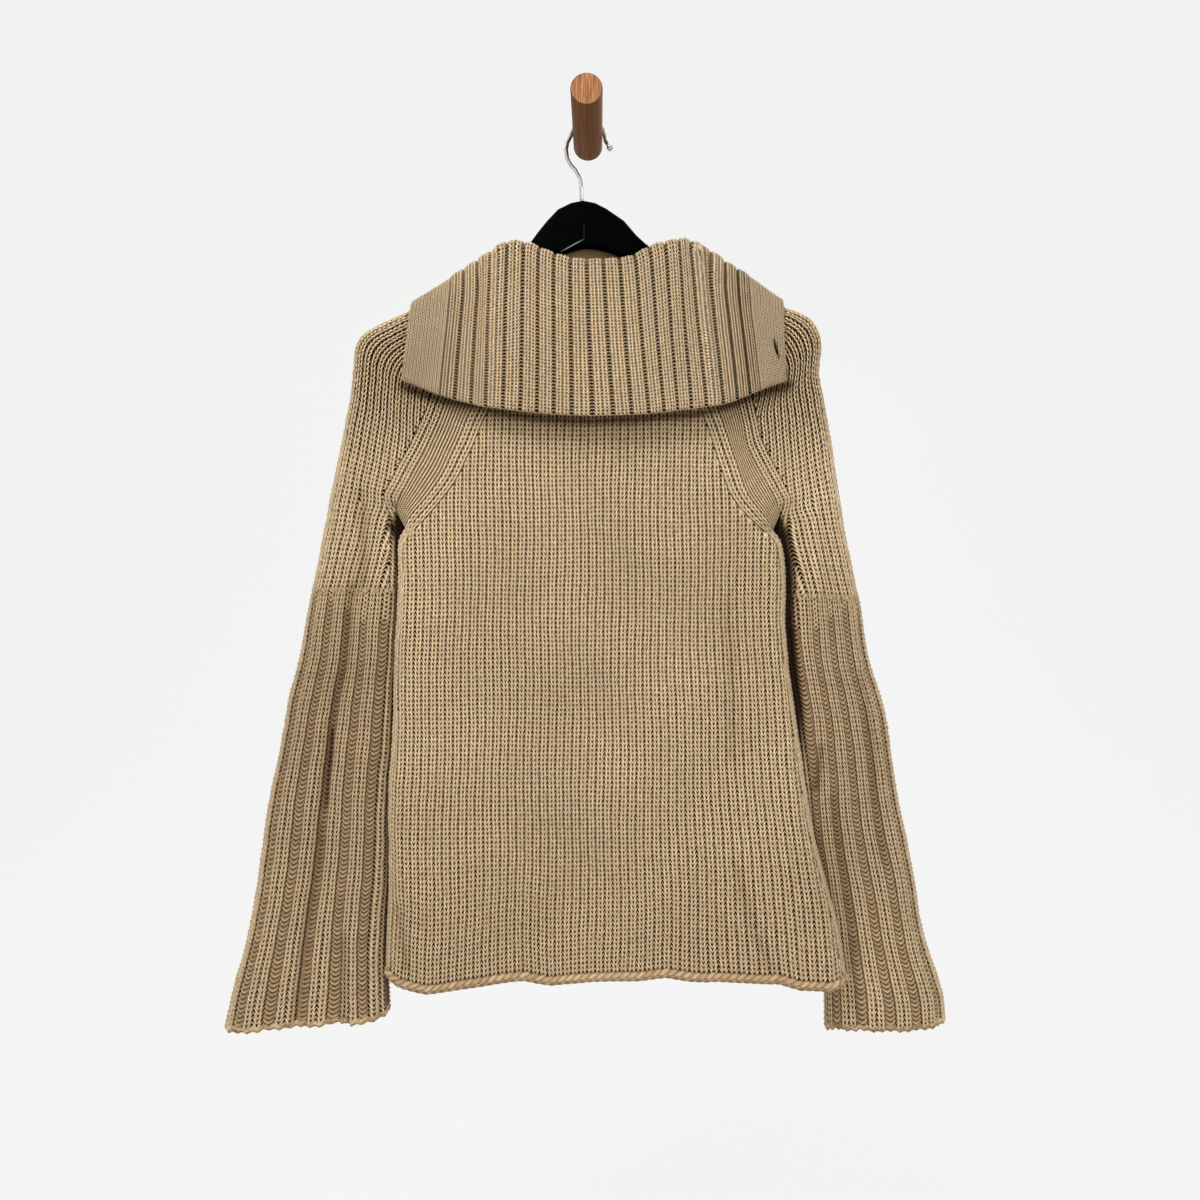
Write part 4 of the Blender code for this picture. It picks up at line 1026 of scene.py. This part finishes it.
def plain_part(side):
    """Points and stitches above the ribs. Columns count out from the shoulder line: the outer ones
    lie along it, the last two at each seam follow the seam, and the rest are cut off beside them."""
    _, rows = sleeve_places(side)
    last = float(int(rows[-1]))
    reach = 17
    band, field = sub_columns(EDGE_BAND), sub_columns(2 * reach) - reach
    column = np.concatenate([band - reach - EDGE_BAND, field[1:-1], band + reach])
    is_band = np.abs(column) >= reach
    near = column <= 0
    climb = CLIMB * leg(column)
    row = half_rows(RIB_ROWS - CLIMB, last + 0.6)
    cut = np.zeros((len(row), len(column)), bool)
    base, normals = np.empty((*cut.shape, 3)), np.empty((*cut.shape, 3))
    light = np.empty(cut.shape)
    for known in (False, True):
        level = np.clip(row[:, None] + np.where(cut, CLIMB, climb), RIB_ROWS, rows[-1])
        found = np.zeros_like(cut)
        for face, mine in ((NEAR, near), (FAR, ~near)):
            inner, outer, width, size, below = sleeve_row(side, face, level[:, mine])
            cloth = width + (size - ROUNDING) * (1 + below) - 0.3
            run = np.broadcast_to(np.abs(column[mine]) * COLUMN, cloth.shape)
            left = np.abs(np.abs(column[mine]) - reach - EDGE_BAND) * COLUMN
            most = np.maximum(cloth - EDGE_BAND * COLUMN, 0)
            beyond = ~is_band[mine] & (cut[:, mine] if known else run > most)
            run = np.where(is_band[mine], np.maximum(cloth - left, 0), np.minimum(run, most))
            run = np.where(beyond, most, run)
            turned = width - turned_in(cloth + 0.3 - run, size)
            inside = turned_in(run, size)
            inside = np.where(run > cloth / 2, below * turned + (1 - below) * inside, inside)
            grid = outer + (inner - outer) * (np.minimum(inside, width) / width)[..., None]
            found[:, mine] = beyond
            if known:
                base[:, mine], normals[:, mine] = surface(grid, side, face)
                light[:, mine] = shade(grid, side, face)
        cut = found
    true_row = level - np.where(cut, CLIMB, climb)
    tall = stitch_height(leg(column), true_row) * uneven(column, true_row)
    outer = base + normals * (RELIEF * (np.where(cut, 0.1, tall) - 0.55))[..., None]
    inner = (base - normals * KNIT_WALL)[::4, ::4]
    stitches = np.stack([np.where(cut, np.round(column), column), true_row], axis=-1)
    return outer, inner, stitches, light * (1 - 0.10 * smooth(-level, -RIB_ROWS - 1.2, -RIB_ROWS))


for side in ("left", "right"):
    sleeve = knitted(f"flared_sleeve_{side}", [ribbed_part(side), plain_part(side)], body_wool)
    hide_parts(f"sleeve_{side}")
    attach(sleeve, "root")

# ------------------------------------------------------------------ rolled hem and cuff edges
# The hem's own curl, tight as a twisted cord, right round the body; and the cast-off edge of each
# cuff, a fine chain with one link for each column.


def cord(name, path, normals, radius, pitch, twist, swell):
    """A closed tube round a closed line. Its radius swells by |sin| of the length along it in
    pitches plus the turn round it, twisted, so the swellings run round as strands."""
    path = np.concatenate([path, path[:1]])
    normals = np.concatenate([normals, normals[:1]])
    length = np.concatenate([[0], np.cumsum(np.linalg.norm(np.diff(path, axis=0), axis=1))])
    links = max(1, round(length[-1] / pitch))
    tangent = np.gradient(path, axis=0)
    tangent[[0, -1]] = path[1] - path[-2]
    tangent /= np.linalg.norm(tangent, axis=1)[:, None]
    side = np.cross(tangent, normals)
    side /= np.linalg.norm(side, axis=1)[:, None]
    out = np.cross(side, tangent)
    turn = np.linspace(0, 2 * np.pi, 19)
    row = (length / length[-1] * links)[:, None] + twist * turn / (2 * np.pi)
    wide = np.abs(np.sin(np.pi * row)) ** 0.7
    around = out[:, None] * np.cos(turn)[:, None] + side[:, None] * np.sin(turn)[:, None]
    outer = path[:, None] + around * (radius - swell + 2 * swell * wide)[..., None]
    stitches = np.stack([np.full(row.shape, 0.25), row], axis=-1)
    # painted shade between the strands and on the roll's underside
    under = 0.58 + 0.42 * smooth(around[..., 2], -0.8, 0.5)
    return knitted(name, [(outer, None, stitches, (0.30 + 0.44 * wide) * under)], body_wool)


def hem_line():
    """Middle of the roll: along the front's lower edge and back along the back's, half the cloth's
    thickness in."""
    low = BODY_SIDES[-1]
    width = low[2] - low[1]
    line, normal = [], []
    for face, deep, piece in ((NEAR, 20.0, "front"), (FAR, 13.0, "back")):
        size = edge_cloth(deep)
        cloth = width + 2 * (size - ROUNDING)
        run = np.linspace(0, cloth, 381)
        x = low[1] + turned_twice(run, cloth, width, size)
        points, normals = surface(np.stack([x, hem_height(x)], axis=-1), piece, face)
        points = points - normals * KNIT_WALL / 2
        order = slice(0, -1) if face == NEAR else slice(-1, 0, -1)
        line.append(points[order])
        normal.append(normals[order])
    return np.concatenate(line), np.concatenate(normal)


path, normals = hem_line()
hem = cord("rolled_hem", path, normals, radius=HEM_RADIUS - 0.1, pitch=7.4, twist=3.6, swell=0.6)
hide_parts("hem_roll")
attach(hem, "root")

for side in ("left", "right"):
    outer, inner, _, _ = ribbed_part(side)
    ring = outer[2, ::2] * 0.5 + outer[0, ::2] * 0.5
    centre = ring.mean(axis=0)
    out = outer[0, ::2] - centre
    out /= np.linalg.norm(out, axis=1)[:, None]
    ring = ring - out * 1.6
    edge = cord(f"cuff_edge_{side}", ring[:-1], out[:-1], radius=2.4, pitch=4.4, twist=1.4, swell=0.5)
    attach(edge, "root")

# ------------------------------------------------------------------ collar
# One wide strip of fine-gauge rib, sewn to the front of the neck, stood up, folded over and laid on
# the chest and the shoulders. Plain bands end it, the right one with a buttonhole.

COLLAR_WALL, COLLAR_LIFT, CREST_LIFT = 5.0, 3.0, 1.4
NECK_SIDES = ((88.0, 1.6), (298.0, 4.4))
# Over a shoulder: place along the strip, x on the shoulder line, free edge x and z on the far side,
# outer edge x and z, how far that stands off
COLLAR_ENDS = {
    "left": (
        (0, -167, -64, -204, -175.0, -243.0, 5.0), (44, -129, -76, -166, -138.6, -258.5, 9.0),
        (74, -103, -86, -143, -109.0, -267.5, 12.0), (85, -94, -88, -130, -98.5, -270.3, 13.0),
    ),
    "right": (
        (303, 113, 103, -126, 126.0, -268.0, 13.0), (314, 124, 101, -138, 136.0, -265.0, 12.0),
        (349, 152, 92, -162, 162.3, -253.5, 9.0), (393, 186, 80, -200, 187.0, -244.5, 5.0),
    ),
}
# Folded at the neck: place, crest x y z, seam x and z, outer edge x y z
COLLAR_FOLD = (
    (95, -84, -28, -117.0, -93.5, -127.0, -88.5, -60, -272.0),
    (104, -76, -33, -113.5, -93.0, -131.0, -79, -61, -273.5),
    (122, -58, -41, -115.0, -88.0, -155.0, -60, -62, -276.0),
    (142, -40, -45, -123.0, -62.0, -168.5, -40, -62, -277.5),
    (168, -14, -46.5, -131.5, -30.0, -178.5, -12, -62, -279.5),
    (194, 12, -46.5, -132.6, 6.0, -182.5, 21, -62, -279.5),
    (222, 40, -46, -129.8, 42.0, -178.5, 52, -62, -278.5),
    (248, 64, -43, -117.5, 74.0, -167.5, 76, -62, -276.0),
    (268, 82, -37, -112.3, 102.0, -154.0, 92, -61, -274.0),
    (284, 93, -32, -111.0, 108.0, -130.0, 107, -60, -271.5),
    (294, 101, -28, -114.0, 110.0, -124.0, 116, -60, -270.0),
)
FOLD_ROLL, FALL_Y = 7.0, -51.0
COLLAR_BAND, COLLAR_LENGTH, COLLAR_RIBS = 44.0, 393.0, 20
END_COLUMNS = 11  # columns of stitches in each plain end band
INWARD_STEPS, OUTWARD_STEPS = 6, 8
CROWD = 2.4  # power by which a section's points crowd at its crest
COLLAR_ROWS = 74


def over_shoulder(row, side):
    """One section of the strip over a shoulder line, free edge first; its steps crowd at the top."""
    _, top_x, free_x, free_z, edge_x, edge_z, stand = row
    line = shoulder_line(side)
    order = np.argsort(line[:, 0])
    top = np.array([top_x, np.interp(top_x, line[order, 0], line[order, 1])])
    parts = []
    ends = ((FAR, (free_x, free_z), INWARD_STEPS), (NEAR, (edge_x, edge_z), OUTWARD_STEPS))
    for face, end, steps in ends:
        shares = np.linspace(0, 1, steps + 1)[:, None] ** CROWD
        outer, normals = surface(top + (np.array(end) - top) * shares, side, face)
        lift = COLLAR_LIFT + (stand * shares**1.3 if face == NEAR else 0.4 * shares)
        parts.append(outer + normals * lift)
    return np.concatenate([parts[0][::-1], parts[1][1:]])


def folded_at_neck(row):
    """One section where the strip stands up from the neckline and folds over, as a quarter circle
    on each side of the crest."""
    _, cx, cy, cz, sx, sz, ex, ey, ez = row
    crest, edge = np.array([cx, cy, cz], float), np.array([ex, ey, ez], float)
    base, normal = surface(np.array([[sx, sz]]), "left" if cx < 0 else "right", NEAR)
    seam = (base + normal * COLLAR_LIFT)[0]
    parts = []
    for end, level, steps in ((seam, seam[1], INWARD_STEPS), (edge, FALL_Y, OUTWARD_STEPS)):
        shares = np.linspace(0, 1, steps + 1) ** CROWD
        run = np.linalg.norm((end - crest)[[0, 2]])
        rise = np.sqrt(1 - (1 - np.clip(shares * run / FOLD_ROLL, 0, 1)) ** 2)
        points = crest + (end - crest) * shares[:, None]
        points[:, 1] = cy + (level - cy) * rise + (end[1] - level) * shares**1.3
        parts.append(points)
    return np.concatenate([parts[0][::-1], parts[1][1:]])


def neck_and_shoulders():
    """Points and normals of the cloth under the collar, which it has to clear."""
    below = np.concatenate([np.arange(0, 6, 0.75), np.arange(6, 30, 3.0), np.arange(30, 150, 6.0)])
    x = np.arange(-224.0, 225.0, 3.0)
    found = []
    for face in (NEAR, FAR):
        left, right = (shoulder_line(side)[4:] for side in ("left", "right"))
        ends = [np.array(RAGLAN_BODY[side, face][-1], float) for side in ("left", "right")]
        middle = (ends[0] + ends[1]) / 2 + [0, NECK_DIP[face]]
        line = np.concatenate([left, [ends[0], middle, ends[1]], right[::-1]])
        top = np.interp(x, line[:, 0], line[:, 1])
        grid = np.stack(np.broadcast_arrays(x[:, None], top[:, None] - below), axis=-1)
        found.append(surface(grid.reshape(-1, 2), "both", face))
    return np.concatenate([f[0] for f in found]), np.concatenate([f[1] for f in found])


def pushed_clear(points, lift):
    """Moves points out along the cloth's normals until they are clear of it by lift."""
    cloud, normals = neck_and_shoulders()
    moved = points.reshape(-1, 3).copy()
    for _ in range(3):
        pick = np.concatenate([
            ((block[:, None] - cloud) ** 2).sum(axis=2).argmin(axis=1)
            for block in np.array_split(moved, max(1, len(moved) // 300))
        ])
        offset = moved - cloud[pick]
        above = (offset * normals[pick]).sum(axis=1)
        near = np.linalg.norm(offset, axis=1) < 14
        wanted = lift + CREST_LIFT * np.clip(normals[pick, 2], 0, 1)
        moved += normals[pick] * (np.clip(wanted - above, 0, None) * near)[:, None]
    return moved.reshape(points.shape)


def through(at, places, values):
    """The smooth curve through values given at uneven places: a Hermite cubic in each step."""
    slopes = np.gradient(values, places, axis=0)
    i = np.clip(np.searchsorted(places, at, side="right") - 1, 0, len(places) - 2)
    step = (places[i + 1] - places[i])[:, None]
    u = ((at - places[i]) / step[:, 0])[:, None]
    first = values[i] * (1 + 2 * u) * (1 - u) ** 2 + slopes[i] * step * u * (1 - u) ** 2
    second = values[i + 1] * u**2 * (3 - 2 * u) + slopes[i + 1] * step * u**2 * (u - 1)
    return first + second


def collar_sheet():
    """The strip's middle surface and normals: sections 3 mm apart along it, each with its points
    evenly spaced from the outer edge (row 0) over the fold to the inner edge."""
    sections = [(row[0], over_shoulder(row, "left")) for row in COLLAR_ENDS["left"]]
    sections += [(row[0], folded_at_neck(row)) for row in COLLAR_FOLD]
    sections += [(row[0], over_shoulder(row, "right")) for row in COLLAR_ENDS["right"]]
    places = np.array([s[0] for s in sections], float)
    values = np.array([s[1] for s in sections])
    at = np.linspace(0, COLLAR_LENGTH, 132)
    sheet = through(at, places, values.reshape(len(places), -1)).reshape(len(at), -1, 3)
    lift = COLLAR_LIFT + sum(more * np.exp(-(((at - p) / 14) ** 2)) for p, more in NECK_SIDES)
    sheet = pushed_clear(sheet, np.repeat(lift, sheet.shape[1]))
    fine = np.array([finer(section, 8)[::-1] for section in sheet])
    run = np.cumsum(np.linalg.norm(np.diff(fine, axis=1), axis=2), axis=1)
    run = np.concatenate([np.zeros((len(at), 1)), run], axis=1)
    even = np.linspace(0, 1, COLLAR_ROWS + 1)
    sheet = np.array([
        np.stack([np.interp(even * r[-1], r, f[:, k]) for k in range(3)], axis=-1)
        for r, f in zip(run, fine)
    ])
    across = np.gradient(sheet, axis=0)
    up = np.gradient(sheet, axis=1)
    normals = np.cross(across, up)
    normals /= np.linalg.norm(normals, axis=2)[..., None]
    return sheet, normals


def read_grid(grid, rows, columns):
    """A grid of points read at fractional rows and columns, smooth both ways: a Catmull-Rom cubic
    along the rows of four neighbours, then one across them."""
    def weights(t):
        return (0.5 * t * ((2 - t) * t - 1), 0.5 * (t * t * (3 * t - 5) + 2),
                0.5 * t * ((4 - 3 * t) * t + 1), 0.5 * t * t * (t - 1))

    i = np.clip(rows.astype(int), 0, grid.shape[0] - 2)
    j = np.clip(columns.astype(int), 0, grid.shape[1] - 2)
    down, over = weights((rows - i)[..., None]), weights((columns - j)[..., None])
    total = 0.0
    for m in range(4):
        for n in range(4):
            a = np.clip(i + m - 1, 0, grid.shape[0] - 1)
            b = np.clip(j + n - 1, 0, grid.shape[1] - 1)
            total = total + down[m] * over[n] * grid[a, b]
    return total


collar_middle, collar_out = collar_sheet()
collar_wool = wool("oatmeal_rib_wool", (0.008, 0.004, 0.0015), (0.17, 0.102, 0.042),
                   (0.82, 0.625, 0.395), depth=1.6, line=0.17)
fine_wool = wool("oatmeal_fine_wool", (0.05, 0.030, 0.013), (0.31, 0.215, 0.115),
                 (0.84, 0.66, 0.435), depth=1.2, line=0.12)


def collar_cloth(name, place, across, valley, swell, pairs, size, finish, cut=None):
    """A stretch of the strip, with `size` rows. place gives each column of points' place along it,
    across how far each lies from its stitch's middle, valley how far it is down between two ribs,
    and swell how far it is up on a rib's round back. cut gives a lip and a hole over points."""
    climb = np.where(valley > 0, CLIMB, CLIMB * across)
    scale = COLLAR_ROWS / size
    row = half_rows(-CLIMB, size + 0.6)
    level = np.clip(row[:, None] + climb, 0, size) * scale
    places = np.broadcast_to(place / COLLAR_LENGTH * (len(collar_middle) - 1), level.shape)
    base = read_grid(collar_middle, places, level)
    normals = read_grid(collar_out, places, level)
    normals /= np.linalg.norm(normals, axis=-1)[..., None]
    wide = np.abs(np.sin(np.pi * row[:, None])) ** 0.8
    tall = np.where(valley > 0, 0.9 * wide, 0.75 * stitch_height(across, row[:, None]) + 0.25 * wide)
    tall = tall * uneven(place, row[:, None])
    gap = np.minimum(level, COLLAR_ROWS - level) * 3.0
    if place[0] == 0:
        gap = np.minimum(gap, place)
    if place[-1] == COLLAR_LENGTH:
        gap = np.minimum(gap, COLLAR_LENGTH - place)
    rounded = 0.3 + 0.7 * np.sqrt(1 - (1 - np.clip(gap / 3.0, 0, 1)) ** 2)
    crest = np.exp(-(((level / scale - 0.73 * size) / 8) ** 2))
    deep = (1.5 + 1.3 * crest) * valley - (0.9 + 0.5 * crest) * swell
    relief = 1.45 if swell.any() else 0.8
    outer = base + normals * (COLLAR_WALL / 2 * rounded + relief * (tall - 0.6) - deep)[..., None]
    inner = (base - normals * (COLLAR_WALL / 2 * 0.85 * rounded)[..., None])[::4, ::4]
    # painted shade: darker in the valleys between ribs, dotted where the rows meet there, and down the
    # sides of each rib
    shade_and_tone = (1 - 0.30 * valley) * (0.82 + 0.18 * swell) * (1 - 0.75 * (1 - wide) * valley)
    shade_and_tone = shade_and_tone if swell.any() else np.broadcast_to(0.97, level.shape)
    if cut is not None:
        lip, hole = cut(base)
        outer = outer + normals * (0.5 * lip - 3.2 * hole)[..., None]
        # painted shade in the buttonhole
        shade_and_tone = shade_and_tone * (1 - 0.97 * hole)
    return knitted(name, [(outer, inner, paired(pairs, row), shade_and_tone)], finish, wander=0.3)


# The ribbed middle: in each rib two plain columns, and a narrow valley at its two sides
one = np.array([0, 0.075, 0.18, 0.29, 0.40, 0.5, 0.60, 0.71, 0.82, 0.925])
one_across = np.array([1, 1, 0.5, 0, 0.5, 1, 0.5, 0, 0.5, 1.0])
one_valley = np.array([1, 0, 0, 0, 0, 0, 0, 0, 0, 0.0])
one_pairs = [(0.0, 0.0)] + [(k / 4, k / 4 + 0.25) for k in range(8)] + [(0.0, 0.0)]
turns = np.arange(COLLAR_RIBS)[:, None]
rib_place = np.append((turns + one).ravel(), float(COLLAR_RIBS))
rib_place = COLLAR_BAND + rib_place / COLLAR_RIBS * (COLLAR_LENGTH - 2 * COLLAR_BAND)
rib_swell = np.append(np.tile(np.sin(np.pi * one) ** 0.7, COLLAR_RIBS), 0.0)
rib_across = np.append(np.tile(one_across, COLLAR_RIBS), 1.0)
rib_valley = np.append(np.tile(one_valley, COLLAR_RIBS), 1.0)
rib_pairs = np.tile(np.array(one_pairs), (COLLAR_RIBS, 1))
ribbed_collar = collar_cloth("ribbed_collar", rib_place, rib_across, rib_valley, rib_swell, rib_pairs,
                             64, collar_wool)
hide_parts("collar")
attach(ribbed_collar, "root")


def buttonhole(points):
    """An upright slit with a raised lip: how much of each there is at a point, by its distance from
    the slit's line."""
    a, b = np.array([175.8, -206.2]), np.array([179.7, -223.1])
    flat = points[..., [0, 2]]
    share = np.clip(((flat - a) @ (b - a)) / ((b - a) @ (b - a)), 0, 1)
    gap = np.linalg.norm(flat - a - share[..., None] * (b - a), axis=-1)
    gap = np.where(points[..., 1] < -30, gap, 99.0)
    half = 0.5 + 1.1 * np.sin(np.pi * share)
    return np.exp(-(((gap - half - 1.0) / 0.9) ** 2)), 1 - smooth(gap, half - 0.3, half + 0.5)


for side, start in (("left", 0.0), ("right", COLLAR_LENGTH - COLLAR_BAND)):
    column = sub_columns(END_COLUMNS)
    place, level = start + column / END_COLUMNS * COLLAR_BAND, np.zeros(len(column))
    pairs = np.stack([column[:-1], column[1:]], axis=1)
    band = collar_cloth(f"plain_band_{side}", place, leg(column), level, level, pairs, 78, fine_wool,
                        buttonhole if side == "right" else None)
    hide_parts(f"collar_band_{side}")
    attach(band, "root")
